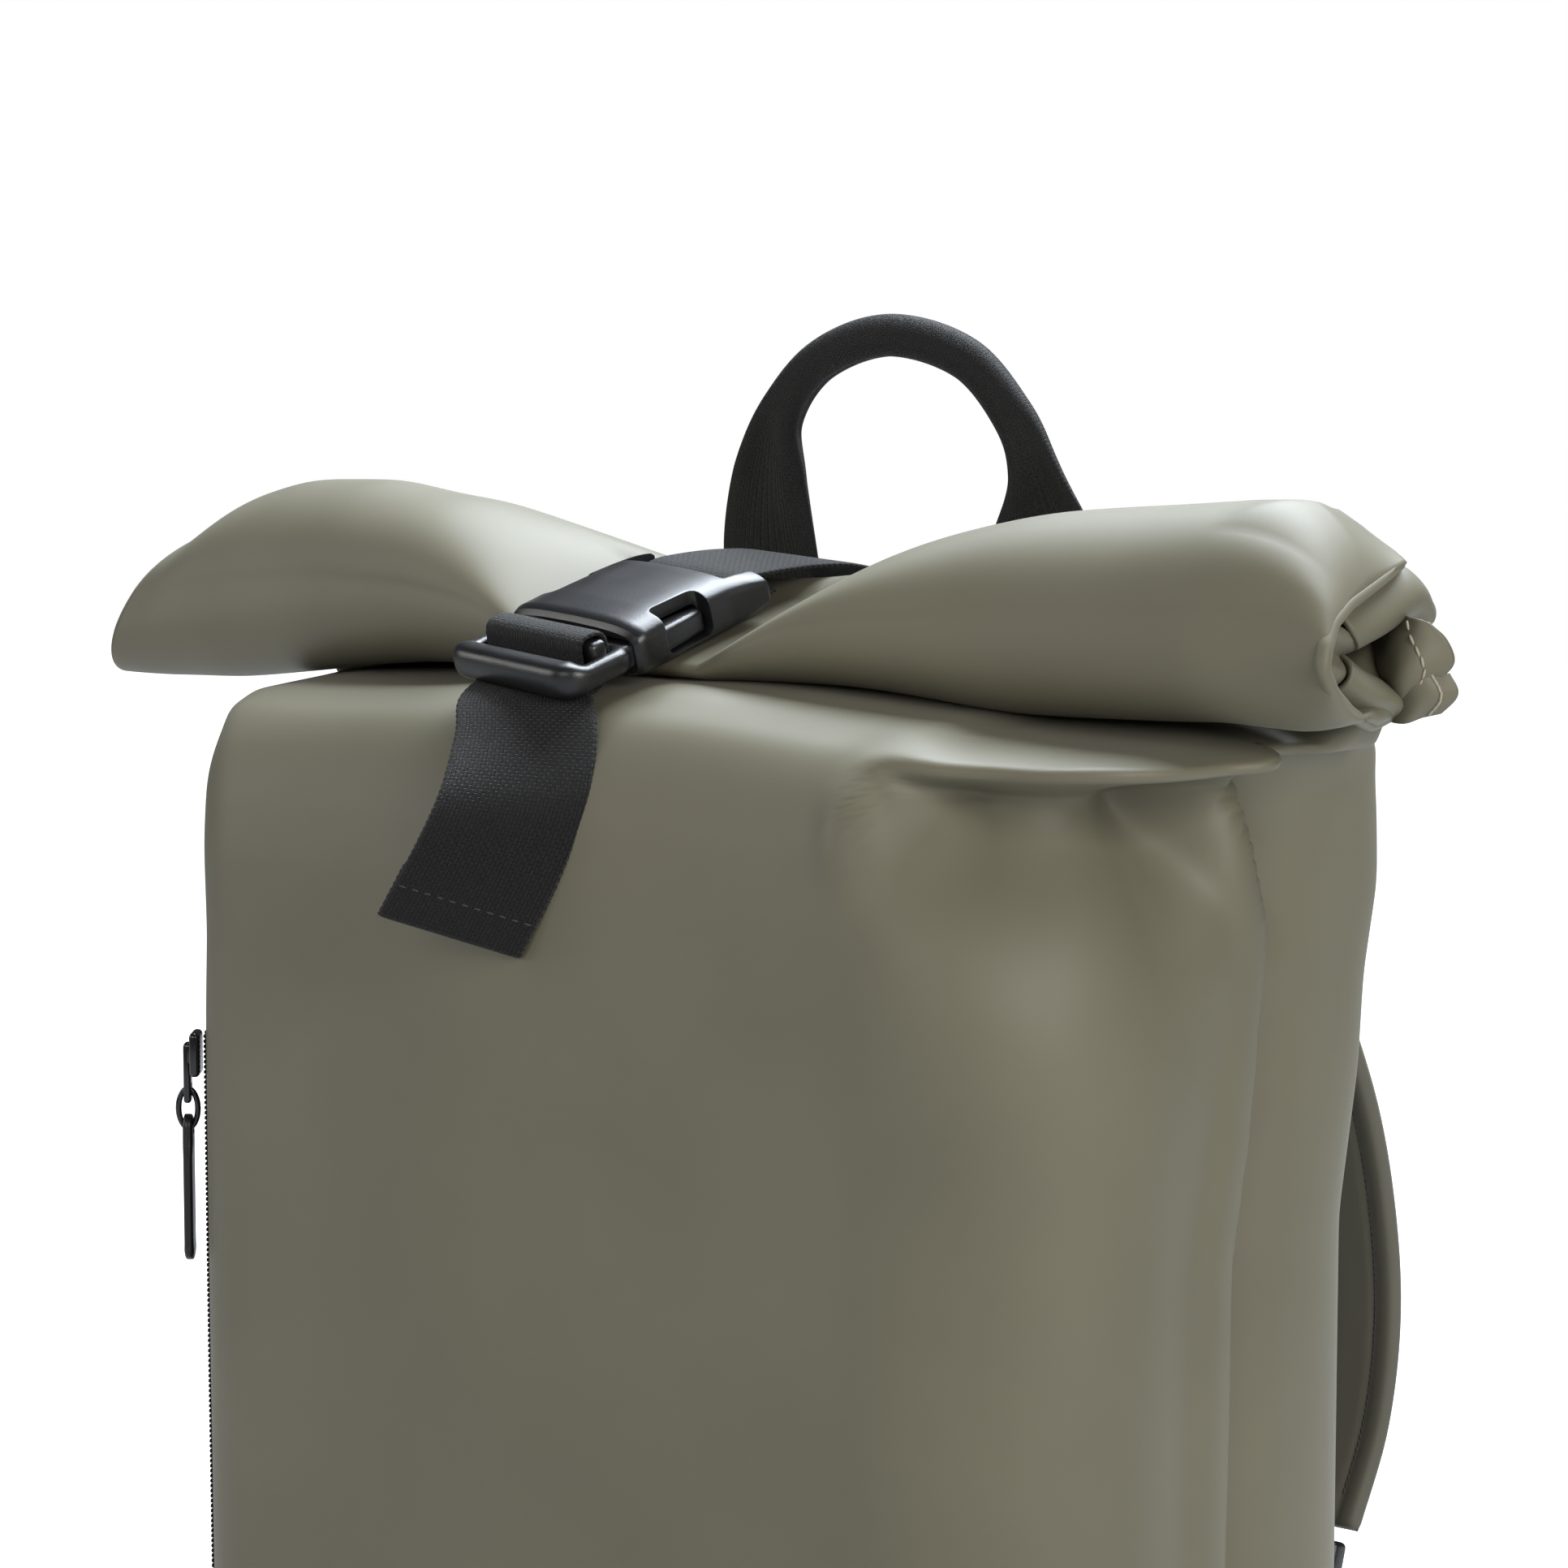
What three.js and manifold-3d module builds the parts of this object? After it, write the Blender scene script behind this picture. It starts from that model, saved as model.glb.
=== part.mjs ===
// Rolltop backpack, filled and closed: a sack of coated cloth whose mouth is pressed flat, rolled
// forward and held by a webbing strap with a side-release buckle.
// Millimetres. X runs to the right of someone facing the front, Y to the back, Z up.
// The origin is the middle of the base.
import * as THREE from "three";
import Module from "manifold-3d";
import { mergeVertices } from "three/addons/utils/BufferGeometryUtils.js";

// Cloth, webbing and clearances
const CLOTH = 2;
const FIT_GAP = 0.3;
const WEBBING_WIDTH = 40;
const WEBBING_THICKNESS = 1.8;
const LOWER_WEBBING_WIDTH = 25;

// Sack
const BODY_WIDTH = 314;
const BODY_FRONT = 90;
const BODY_BACK = 82;
const BODY_HEIGHT = 385;
const BASE_THICKNESS = 3;
const LEFT_CORNER_RADIUS = 36;
const RIGHT_CORNER_RADIUS = 58;
const BACK_CORNER_RADIUS = 52;
const GUSSET_PINCH = 14;
const FRONT_BOW = 5;
const CROWN_HEIGHT = 9;
const CROWN_REACH = 85;
const SIDE_DROOP = 6;
const SHOULDER_DENT = 11;
const SHOULDER_DENT_REACH = 24;

// Flat neck and the roll that it ends in
const MOUTH_WIDTH = 438;
const MOUTH_SHIFT = -18;
const NECK_Y = 31;
const NECK_DEPTH = 8;
const NECK_TOP = 400;
const NECK_INSET = 20;
const ROLL_DEPTH = 68;
const ROLL_HEIGHT = 60;
const ROLL_CENTRE_Y = 3;
const ROLL_CENTRE_Z = 417;
const ROLL_TURN_CLEARANCE = 1;
const ROLL_BELLY = 0.2;

// Padded back panel
const BACK_PAD_THICKNESS = 10;
const BACK_PAD_WIDTH = 250;
const BACK_PAD_BOTTOM = 25;
const BACK_PAD_TOP = 345;
const BACK_PAD_CORNER = 30;

// Side-release buckle, in its own frame: X across, Y from its front bar to its rear, Z through it
const BUCKLE_WIDTH = 54;
const BUCKLE_POSITION = new THREE.Vector3(-26, -81, 396);
const BUCKLE_PITCH = 18;
const BUCKLE_ROLL = 5;
const BUCKLE_YAW = -8;
const BAR_DEPTH = 7;
const BAR_THICKNESS = 8;
const MIDDLE_BAR_DEPTH = 4.6;
const MIDDLE_BAR_THICKNESS = 4;
const MIDDLE_BAR_RISE = 2.5;
const BUCKLE_SLOT = 6.4;
const RAIL_WIDTH = 6.5;
const SOCKET_LENGTH = 50;
const SOCKET_THICKNESS = 15;
const SOCKET_WALL = 2.5;
const PRONG_LENGTH = 28;
const PRONG_WIDTH = 8;
const PRONG_THICKNESS = 7;
const WINDOW_LENGTH = 18;
const REAR_BAR_DEPTH = 5;
const REAR_BAR_THICKNESS = 4;
const BUCKLE_CLEARANCE = 0.5;

// Grab handle
const HANDLE_SPAN = 100;
const HANDLE_TOP = 493;
const HANDLE_Y = 51;
const HANDLE_WIDTH = 38;
const GRIP_WIDTH = 12.5;
const GRIP_THICKNESS = 9;

// Shoulder straps
const SHOULDER_STRAP_WIDTH = 62;
const SHOULDER_STRAP_THICKNESS = 9;
const SHOULDER_STRAP_STANDOFF = 68;
const SHOULDER_STRAP_TOP = 340;
const SHOULDER_STRAP_BOTTOM = 132;
const SHOULDER_STRAP_X = 76;
const SLIDER_WIDTH = 36;
const SLIDER_HEIGHT = 20;
const SLIDER_THICKNESS = 7;
const ANCHOR_X = 104;
const ANCHOR_WIDTH = 34;
const ANCHOR_HEIGHT = 30;
const ANCHOR_THICKNESS = 4;
const ANCHOR_BOTTOM = 32;

// Side zip
const ZIP_TOP = 288;
const ZIP_BOTTOM = 45;
const ZIP_ANGLE = 40;
const ZIP_TAPE_WIDTH = 16;
const ZIP_TAPE_THICKNESS = 1;
const ZIP_TEETH_WIDTH = 6;
const ZIP_TEETH_THICKNESS = 1.5;
const ZIP_SLIDER_LENGTH = 13;
const ZIP_SLIDER_WIDTH = 10;
const ZIP_SLIDER_THICKNESS = 3;
const ZIP_LUG_WIDTH = 4.6;
const ZIP_LUG_THICKNESS = 2.2;
const ZIP_LUG_LENGTH = 8;
const RING_WIDTH = 5.6;
const RING_LENGTH = 11.4;
const RING_WIRE = 0.9;
const PULL_TAB_LENGTH = 43;
const PULL_TAB_WIDTH = 8;
const PULL_TAB_THICKNESS = 3.2;

// Outline of the sack from the base panel up. height is a share of BODY_HEIGHT, width of BODY_WIDTH,
// front and back of the distances to the front and back, corner and rear of the corner radii at the
// front and back, pinch of GUSSET_PINCH, crown of CROWN_HEIGHT and SIDE_DROOP. flare goes from the
// sack's width to the mouth's, gather from its depth to the neck's.
const BODY_SECTIONS = [
  { height: 0, width: 0.465, front: 0.86, back: 0.9, corner: 0.6, rear: 0.5,
    pinch: 0, crown: 0, flare: 0, gather: 0 },
  { height: 0.03, width: 0.487, front: 0.92, back: 0.96, corner: 0.75, rear: 0.6,
    pinch: 0.1, crown: 0, flare: 0, gather: 0 },
  { height: 0.1, width: 0.496, front: 0.96, back: 1, corner: 0.9, rear: 0.8,
    pinch: 0.45, crown: 0, flare: 0, gather: 0 },
  { height: 0.28, width: 0.5, front: 0.99, back: 1, corner: 0.97, rear: 1,
    pinch: 0.7, crown: 0, flare: 0, gather: 0 },
  { height: 0.49, width: 0.5, front: 1, back: 1, corner: 1, rear: 1,
    pinch: 0.7, crown: 0, flare: 0, gather: 0 },
  { height: 0.65, width: 0.5, front: 1, back: 1, corner: 1, rear: 1,
    pinch: 0.5, crown: 0, flare: 0, gather: 0 },
  { height: 0.755, width: 0.5, front: 1, back: 1, corner: 1, rear: 0.77,
    pinch: 0.2, crown: 0, flare: 0, gather: 0 },
  { height: 0.82, width: 0.497, front: 1, back: 0.99, corner: 1, rear: 0.65,
    pinch: 0.1, crown: 0, flare: 0, gather: 0 },
  { height: 0.885, width: 0.5, front: 0.98, back: 0.96, corner: 0.92, rear: 0.46,
    pinch: 0.4, crown: 0, flare: 0, gather: 0 },
  { height: 0.93, width: 0.5, front: 0.94, back: 0.93, corner: 0.84, rear: 0.43,
    pinch: 0.8, crown: 0.1, flare: 0.01, gather: 0 },
  { height: 0.962, width: 0.5, front: 0.87, back: 0.88, corner: 0.7, rear: 0.39,
    pinch: 1, crown: 0.35, flare: 0.03, gather: 0 },
  { height: 0.982, width: 0.5, front: 0.78, back: 0.81, corner: 0.55, rear: 0.32,
    pinch: 1, crown: 0.7, flare: 0.08, gather: 0 },
  { height: 0.994, width: 0.5, front: 0.63, back: 0.72, corner: 0.42, rear: 0.24,
    pinch: 0.75, crown: 0.95, flare: 0.12, gather: 0.03 },
  { height: 1, width: 0.5, front: 0.4, back: 0.62, corner: 0.27, rear: 0.16,
    pinch: 0.4, crown: 1, flare: 0.2, gather: 0.3 },
  { height: 1.004, width: 0.5, front: 0.25, back: 0.55, corner: 0.16, rear: 0.12,
    pinch: 0.1, crown: 1, flare: 0.38, gather: 0.7 },
];

// The roll from its left end to its right end. along is a share of half the mouth's width, depth and
// height are shares of ROLL_DEPTH and ROLL_HEIGHT, forward and lower are shares of them by which the
// section's middle moves. lean and skew are the shares of ROLL_HEIGHT by which the top and the back
// are set out at an end.
const ROLL_SECTIONS = [
  { along: -1, depth: 0.84, height: 0.78, forward: 0, lower: 0.2, lean: 0.3, skew: 0.05 },
  { along: -0.93, depth: 0.94, height: 0.92, forward: 0, lower: 0.13, lean: 0.22, skew: 0 },
  { along: -0.8, depth: 1, height: 1, forward: 0, lower: 0.07, lean: 0.12, skew: 0 },
  { along: -0.62, depth: 1.02, height: 0.96, forward: 0, lower: 0.02, lean: 0, skew: 0 },
  { along: -0.42, depth: 1.1, height: 0.8, forward: 0.04, lower: 0.03, lean: 0, skew: 0 },
  { along: -0.17, depth: 1.19, height: 0.54, forward: 0.09, lower: 0.13, lean: 0, skew: 0 },
  { along: -0.08, depth: 1.2, height: 0.47, forward: 0.1, lower: 0.16, lean: 0, skew: 0 },
  { along: 0.03, depth: 1.2, height: 0.44, forward: 0.1, lower: 0.17, lean: 0, skew: 0 },
  { along: 0.14, depth: 1.2, height: 0.48, forward: 0.1, lower: 0.15, lean: 0, skew: 0 },
  { along: 0.31, depth: 1.16, height: 0.66, forward: 0.07, lower: 0.08, lean: 0, skew: 0 },
  { along: 0.52, depth: 1.08, height: 0.84, forward: 0.02, lower: 0.04, lean: 0, skew: 0 },
  { along: 0.75, depth: 1.02, height: 0.95, forward: 0, lower: 0.02, lean: 0, skew: 0 },
  { along: 0.89, depth: 0.98, height: 1, forward: 0, lower: 0, lean: -0.05, skew: -0.06 },
  { along: 0.965, depth: 0.92, height: 0.97, forward: 0, lower: 0.01, lean: -0.12, skew: -0.14 },
];
const ROLL_START_ANGLE = -8;
const ROLL_TURNS = 1.45;
const ROLL_STEPS = 30;

// The strap's pull flattens the roll under the buckle: its top stays below the buckle's underside,
// also in a margin beside it, and rises beyond that and behind it with these slopes.
const PRESS_MARGIN = 13;
const PRESS_SLOPE_ACROSS = 0.9;
const PRESS_SLOPE_BEHIND = 0.75;

const wasm = await Module();
wasm.setup();

const lerp = THREE.MathUtils.lerp;
const radians = THREE.MathUtils.degToRad;
const smooth = THREE.MathUtils.smoothstep;
const vector = (x, y, z) => new THREE.Vector3(x, y, z);
const bell = (distance, reach) => Math.exp(-((distance / reach) ** 2));

// A geometry from corner points and triangles, turned so that its faces point out.
function geometryFrom(points, faces) {
  let volume = 0;
  for (let i = 0; i < faces.length; i += 3) {
    const [a, b, c] = [points[faces[i]], points[faces[i + 1]], points[faces[i + 2]]];
    volume += a.dot(b.clone().cross(c));
  }
  if (volume < 0) faces.reverse();
  const geometry = new THREE.BufferGeometry();
  const coordinates = points.flatMap((p) => p.toArray());
  geometry.setAttribute("position", new THREE.Float32BufferAttribute(coordinates, 3));
  geometry.setIndex(faces);
  return geometry;
}

// A closed wall between two grids of points, grid[row][column]. A wrapped wall is a tube: its last
// column joins its first.
function wallBetween(front, back, wrapped = false) {
  const rows = front.length;
  const columns = front[0].length;
  const points = [...front.flat(), ...back.flat()];
  const faces = [];
  const at = (side, row, column) => (side * rows + row) * columns + (column % columns);
  const quad = (a, b, c, d) => faces.push(a, b, c, a, c, d);
  const spans = wrapped ? columns : columns - 1;
  for (let row = 0; row < rows - 1; row++)
    for (let column = 0; column < spans; column++) {
      quad(at(0, row, column), at(0, row, column + 1), at(0, row + 1, column + 1), at(0, row + 1, column));
      quad(at(1, row, column), at(1, row + 1, column), at(1, row + 1, column + 1), at(1, row, column + 1));
    }
  for (let column = 0; column < spans; column++) {
    quad(at(1, 0, column), at(1, 0, column + 1), at(0, 0, column + 1), at(0, 0, column));
    quad(
      at(0, rows - 1, column),
      at(0, rows - 1, column + 1),
      at(1, rows - 1, column + 1),
      at(1, rows - 1, column),
    );
  }
  if (!wrapped)
    for (let row = 0; row < rows - 1; row++) {
      quad(at(0, row, 0), at(0, row + 1, 0), at(1, row + 1, 0), at(1, row, 0));
      quad(at(0, row, spans), at(1, row, spans), at(1, row + 1, spans), at(0, row + 1, spans));
    }
  return geometryFrom(points, faces);
}

// The grid moved along its own normals.
function offsetGrid(grid, distance, wrapped = false) {
  const rows = grid.length;
  const columns = grid[0].length;
  return grid.map((line, row) =>
    line.map((point, column) => {
      const before = wrapped ? (column + columns - 1) % columns : Math.max(column - 1, 0);
      const after = wrapped ? (column + 1) % columns : Math.min(column + 1, columns - 1);
      const across = line[after].clone().sub(line[before]);
      const next = grid[Math.min(row + 1, rows - 1)][column];
      const along = next.clone().sub(grid[Math.max(row - 1, 0)][column]);
      return point.clone().addScaledVector(across.cross(along).normalize(), distance);
    }),
  );
}

// A sheet of one thickness around its middle grid.
function thickSheet(middle, thickness) {
  return wallBetween(offsetGrid(middle, thickness / 2), offsetGrid(middle, -thickness / 2));
}

// Flat webbing along a path of { at, side } stations, where side points across the webbing.
function webbing(stations, width) {
  const middle = stations.map(({ at, side }) => [
    at.clone().addScaledVector(side, -width / 2),
    at.clone().addScaledVector(side, width / 2),
  ]);
  return thickSheet(middle, WEBBING_THICKNESS);
}

// A padded bar along stations of { at, side, width, thickness }, with chamfered edges and flat ends.
function paddedBar(stations) {
  const rings = stations.map(({ at, side, width, thickness }, index) => {
    const previous = stations[Math.max(index - 1, 0)].at;
    const next = stations[Math.min(index + 1, stations.length - 1)].at;
    const normal = next.clone().sub(previous).cross(side).normalize();
    const edge = Math.min(width, thickness) * 0.3;
    const halfWidth = width / 2;
    const halfThickness = thickness / 2;
    const outline = [
      [halfWidth, edge - halfThickness],
      [halfWidth, halfThickness - edge],
      [halfWidth - edge, halfThickness],
      [edge - halfWidth, halfThickness],
      [-halfWidth, halfThickness - edge],
      [-halfWidth, edge - halfThickness],
      [edge - halfWidth, -halfThickness],
      [halfWidth - edge, -halfThickness],
    ];
    return outline.map(([u, v]) => at.clone().addScaledVector(side, u).addScaledVector(normal, v));
  });
  const sides = rings[0].length;
  const points = rings.flat();
  const faces = [];
  for (let ring = 0; ring < rings.length - 1; ring++)
    for (let i = 0; i < sides; i++) {
      const a = ring * sides + i;
      const b = ring * sides + ((i + 1) % sides);
      faces.push(a, b, b + sides, a, b + sides, a + sides);
    }
  const last = (rings.length - 1) * sides;
  for (let i = 1; i < sides - 1; i++) {
    faces.push(0, i + 1, i);
    faces.push(last, last + i, last + i + 1);
  }
  return geometryFrom(points, faces);
}

// Stations spaced evenly along a smooth curve through a short table of rows. Every other column of
// the table is blended from row to row.
function stationsAlong(rows, steps, place) {
  const curve = new THREE.CatmullRomCurve3(rows.map(place), false, "centripetal");
  return Array.from({ length: steps + 1 }, (_, step) => {
    const share = step / steps;
    const position = share * (rows.length - 1);
    const first = Math.min(Math.floor(position), rows.length - 2);
    const blend = (column) => lerp(rows[first][column], rows[first + 1][column], position - first);
    return { at: curve.getPoint(share), blend };
  });
}

function solidFrom(geometry) {
  const bare = geometry.clone();
  bare.deleteAttribute("normal");
  bare.deleteAttribute("uv");
  const merged = mergeVertices(bare, 1e-4);
  return new wasm.Manifold(
    new wasm.Mesh({
      numProp: 3,
      vertProperties: new Float32Array(merged.attributes.position.array),
      triVerts: new Uint32Array(merged.index.array),
    }),
  );
}

function geometryOf(solid) {
  const mesh = solid.getMesh();
  const geometry = new THREE.BufferGeometry();
  geometry.setAttribute("position", new THREE.BufferAttribute(new Float32Array(mesh.vertProperties), 3));
  geometry.setIndex(new THREE.BufferAttribute(new Uint32Array(mesh.triVerts), 1));
  return geometry;
}

function block(xs, ys, zs) {
  const geometry = new THREE.BoxGeometry(xs[1] - xs[0], ys[1] - ys[0], zs[1] - zs[0]);
  return geometry.translate((xs[0] + xs[1]) / 2, (ys[0] + ys[1]) / 2, (zs[0] + zs[1]) / 2);
}

function roundedRectangle(left, right, low, high, radius) {
  const shape = new THREE.Shape();
  shape.moveTo(left + radius, low);
  shape.lineTo(right - radius, low);
  shape.absarc(right - radius, low + radius, radius, -Math.PI / 2, 0);
  shape.lineTo(right, high - radius);
  shape.absarc(right - radius, high - radius, radius, 0, Math.PI / 2);
  shape.lineTo(left + radius, high);
  shape.absarc(left + radius, high - radius, radius, Math.PI / 2, Math.PI);
  shape.lineTo(left, low + radius);
  shape.absarc(left + radius, low + radius, radius, Math.PI, Math.PI * 1.5);
  return shape;
}

// Sack

// The sizes of one section, in millimetres.
function sectionSizes(row) {
  const front = lerp(-BODY_FRONT * row.front, NECK_Y - NECK_DEPTH / 2, row.gather);
  const back = lerp(BODY_BACK * row.back, NECK_Y + NECK_DEPTH / 2, row.gather);
  const fullest = (back - front) / 2 - FIT_GAP;
  return {
    z: lerp(BASE_THICKNESS + FIT_GAP, BODY_HEIGHT, row.height),
    halfWidth: lerp(BODY_WIDTH * row.width, MOUTH_WIDTH / 2, row.flare),
    front,
    back,
    leftCorner: Math.min(LEFT_CORNER_RADIUS * row.corner, fullest),
    rightCorner: Math.min(RIGHT_CORNER_RADIUS * row.corner, fullest),
    backCorner: Math.min(BACK_CORNER_RADIUS * row.rear, fullest),
    pinch: GUSSET_PINCH * row.pinch,
    bow: FRONT_BOW * (1 - row.gather) * Math.min(1, row.front),
    crown: CROWN_HEIGHT * row.crown,
    droop: SIDE_DROOP * row.crown,
    shift: MOUTH_SHIFT * row.flare,
  };
}

const neckCorner = NECK_DEPTH / 2 - FIT_GAP;
const neckSection = {
  z: NECK_TOP,
  halfWidth: MOUTH_WIDTH / 2 - NECK_INSET,
  front: NECK_Y - NECK_DEPTH / 2,
  back: NECK_Y + NECK_DEPTH / 2,
  leftCorner: neckCorner,
  rightCorner: neckCorner,
  backCorner: neckCorner,
  pinch: 0,
  bow: 0,
  crown: 0,
  droop: 0,
  shift: MOUTH_SHIFT,
};
const bodySections = [...BODY_SECTIONS.map(sectionSizes), neckSection];

// The sections blended at one height, for what lies against the sack.
function sectionAt(z) {
  const above = Math.max(1, bodySections.findIndex((section) => section.z >= z));
  const low = bodySections[above - 1];
  const high = bodySections[above];
  const share = (z - low.z) / (high.z - low.z);
  return Object.fromEntries(Object.keys(low).map((key) => [key, lerp(low[key], high[key], share)]));
}

const FRONT_STEPS = 9;
const SIDE_STEPS = 6;
const BACK_STEPS = 5;
const CORNER_STEPS = 4;

// One closed ring around the sack, counter-clockwise from above, starting at the front left corner.
function sectionRing(size) {
  const ring = [];
  const put = (x, y) => {
    const dent = SHOULDER_DENT * bell(size.z - BODY_HEIGHT * 0.965, SHOULDER_DENT_REACH * 0.6);
    const reach = Math.hypot(Math.abs(x) - BODY_WIDTH * 0.45, y + BODY_FRONT * 0.62);
    const keep = 1 - (dent * bell(reach, SHOULDER_DENT_REACH)) / (BODY_WIDTH / 2);
    const rise = size.crown * bell(x, CROWN_REACH);
    const fall = size.droop * smooth(Math.abs(x), BODY_WIDTH * 0.45, MOUTH_WIDTH * 0.45);
    ring.push(vector(x * keep + size.shift, y * keep, size.z + rise - fall));
  };
  const corner = (x, y, radius, start) => {
    for (let step = 0; step <= CORNER_STEPS; step++) {
      const angle = radians(start + (90 * step) / CORNER_STEPS);
      put(x + radius * Math.cos(angle), y + radius * Math.sin(angle));
    }
  };
  const between = (from, to, steps, draw) => {
    for (let step = 1; step < steps; step++) draw(lerp(from, to, step / steps), (2 * step) / steps - 1);
  };
  const { halfWidth, front, back, leftCorner, rightCorner, backCorner, pinch, bow } = size;
  const folded = (share) => halfWidth - pinch * (1 - Math.abs(share));
  const frontLeft = leftCorner - halfWidth;
  const frontRight = halfWidth - rightCorner;
  const backEnd = halfWidth - backCorner;
  between(frontLeft, frontRight, FRONT_STEPS, (x, share) => put(x, front - bow * (1 - share ** 2)));
  corner(frontRight, front + rightCorner, rightCorner, -90);
  between(front + rightCorner, back - backCorner, SIDE_STEPS, (y, share) => put(folded(share), y));
  corner(backEnd, back - backCorner, backCorner, 0);
  between(backEnd, -backEnd, BACK_STEPS, (x) => put(x, back));
  corner(-backEnd, back - backCorner, backCorner, 90);
  between(back - backCorner, front + leftCorner, SIDE_STEPS, (y, share) => put(-folded(share), y));
  corner(frontLeft, front + leftCorner, leftCorner, 180);
  return ring;
}

const bodyOutside = bodySections.map(sectionRing);
const bodyGeometry = wallBetween(bodyOutside, offsetGrid(bodyOutside, -CLOTH, true), true);

// The front of the sack near its middle line, at one height.
function frontAt(z) {
  const size = sectionAt(z);
  return size.front - size.bow;
}

const baseSize = bodySections[0];
const baseShape = roundedRectangle(
  -baseSize.halfWidth,
  baseSize.halfWidth,
  baseSize.front,
  baseSize.back,
  baseSize.leftCorner,
);
const baseGeometry = new THREE.ExtrudeGeometry(baseShape, {
  depth: BASE_THICKNESS,
  bevelEnabled: false,
  curveSegments: 6,
});

// The pad is drawn in X and Z and stands against the back of the sack.
const backPadShape = roundedRectangle(
  -BACK_PAD_WIDTH / 2,
  BACK_PAD_WIDTH / 2,
  BACK_PAD_BOTTOM,
  BACK_PAD_TOP,
  BACK_PAD_CORNER,
);
const backPadGeometry = new THREE.ExtrudeGeometry(backPadShape, {
  depth: BACK_PAD_THICKNESS,
  bevelEnabled: false,
  curveSegments: 6,
});
backPadGeometry.rotateX(Math.PI / 2);
const backPadInner = BODY_BACK + FIT_GAP;
const backPadOuter = backPadInner + BACK_PAD_THICKNESS;
backPadGeometry.translate(0, backPadOuter, 0);

// Where the buckle lies, and the places along it

const buckle = new THREE.Group();
buckle.position.copy(BUCKLE_POSITION);
buckle.rotation.set(radians(BUCKLE_PITCH), radians(BUCKLE_ROLL), radians(BUCKLE_YAW), "ZXY");
buckle.updateMatrixWorld(true);
const inBuckle = (y, z) => vector(0, y, z).applyMatrix4(buckle.matrixWorld);
const buckleSide = vector(1, 0, 0).transformDirection(buckle.matrixWorld);
const straightSide = vector(1, 0, 0);

const middleBarFront = BAR_DEPTH + BUCKLE_SLOT;
const middleBarBack = middleBarFront + MIDDLE_BAR_DEPTH;
const plugShoulder = middleBarBack + BUCKLE_SLOT;
const socketFront = plugShoulder + FIT_GAP;
const socketBack = socketFront + SOCKET_LENGTH;
const rearBarFront = socketBack - REAR_BAR_DEPTH;
const rearSlotFront = rearBarFront - BUCKLE_SLOT;
const halfBuckle = BUCKLE_WIDTH / 2;
const halfSlot = halfBuckle - RAIL_WIDTH;
const prongOut = halfBuckle - SOCKET_WALL - BUCKLE_CLEARANCE;

// Rolled top: two cloth layers pressed together and rolled forward

const rollThickness = 2 * CLOTH;

function rollSizes(row) {
  return {
    x: MOUTH_SHIFT + (row.along * MOUTH_WIDTH) / 2,
    y: ROLL_CENTRE_Y - ROLL_DEPTH * row.forward,
    z: ROLL_CENTRE_Z - ROLL_HEIGHT * row.lower,
    halfDepth: (ROLL_DEPTH * row.depth) / 2,
    halfHeight: (ROLL_HEIGHT * row.height) / 2,
    lean: row.lean * ROLL_HEIGHT,
    skew: row.skew * ROLL_HEIGHT,
    belly: row.height * ROLL_HEIGHT * ROLL_BELLY,
  };
}

// The strip starts on the neck, runs up the back, over the top, down the front and in again.
function rollLine(row) {
  const size = rollSizes(row);
  const inset = rollThickness + ROLL_TURN_CLEARANCE;
  const line = [1.5, 3].map((share) => vector(size.x, NECK_Y, NECK_TOP + share * CLOTH + FIT_GAP));
  for (let step = 0; step <= ROLL_STEPS; step++) {
    const degrees = ROLL_START_ANGLE + (360 * ROLL_TURNS * step) / ROLL_STEPS;
    const angle = radians(degrees);
    const inward = inset * smooth(degrees, 190, 320) + rollThickness / 2;
    const up = Math.sin(angle);
    const out = Math.cos(angle);
    const sag = size.belly * Math.max(0, -up) * Math.max(0, -out);
    line.push(
      vector(
        size.x + size.lean * up + size.skew * out,
        size.y + out * (size.halfDepth - inward * 1.5) - sag,
        size.z + up * (size.halfHeight - inward) - sag,
      ),
    );
  }
  return line;
}

// The highest that the roll may reach at a place: the underside of the buckle, widened.
function pressLimit(x, y) {
  const local = vector(x, y, BUCKLE_POSITION.z).sub(BUCKLE_POSITION);
  const up = vector(0, 0, 1).transformDirection(buckle.matrixWorld);
  const slope = (up.x * local.x + up.y * local.y) / up.z;
  const plane = BUCKLE_POSITION.z - slope - (SOCKET_THICKNESS / 2 + 2 * FIT_GAP) / up.z;
  const beside = Math.max(0, Math.abs(local.dot(buckleSide)) - halfBuckle - PRESS_MARGIN);
  const behind = Math.max(0, y - inBuckle(socketBack + PRESS_MARGIN, 0).y);
  return plane + beside * PRESS_SLOPE_ACROSS + behind * PRESS_SLOPE_BEHIND;
}

// Lowers the top of one section of the roll to its limit and keeps its underside in place.
function pressed(point, size) {
  const bottom = size.z - size.halfHeight;
  const outward = Math.min(1, Math.abs(point.y - size.y) / size.halfDepth);
  const top = size.z + size.halfHeight * Math.sqrt(1 - outward ** 2) + FIT_GAP;
  const keep = Math.min(1, (pressLimit(point.x, point.y) - bottom) / (top - bottom));
  return vector(point.x, point.y, bottom + (point.z - bottom) * keep);
}

const rollMiddle = ROLL_SECTIONS.map(rollLine);
const rollSides = [1, -1].map((side) =>
  offsetGrid(rollMiddle, (side * rollThickness) / 2).map((line, index) =>
    line.map((point) => pressed(point, rollSizes(ROLL_SECTIONS[index]))),
  ),
);
const rollGeometry = wallBetween(rollSides[0], rollSides[1]);

// Side-release buckle

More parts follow.
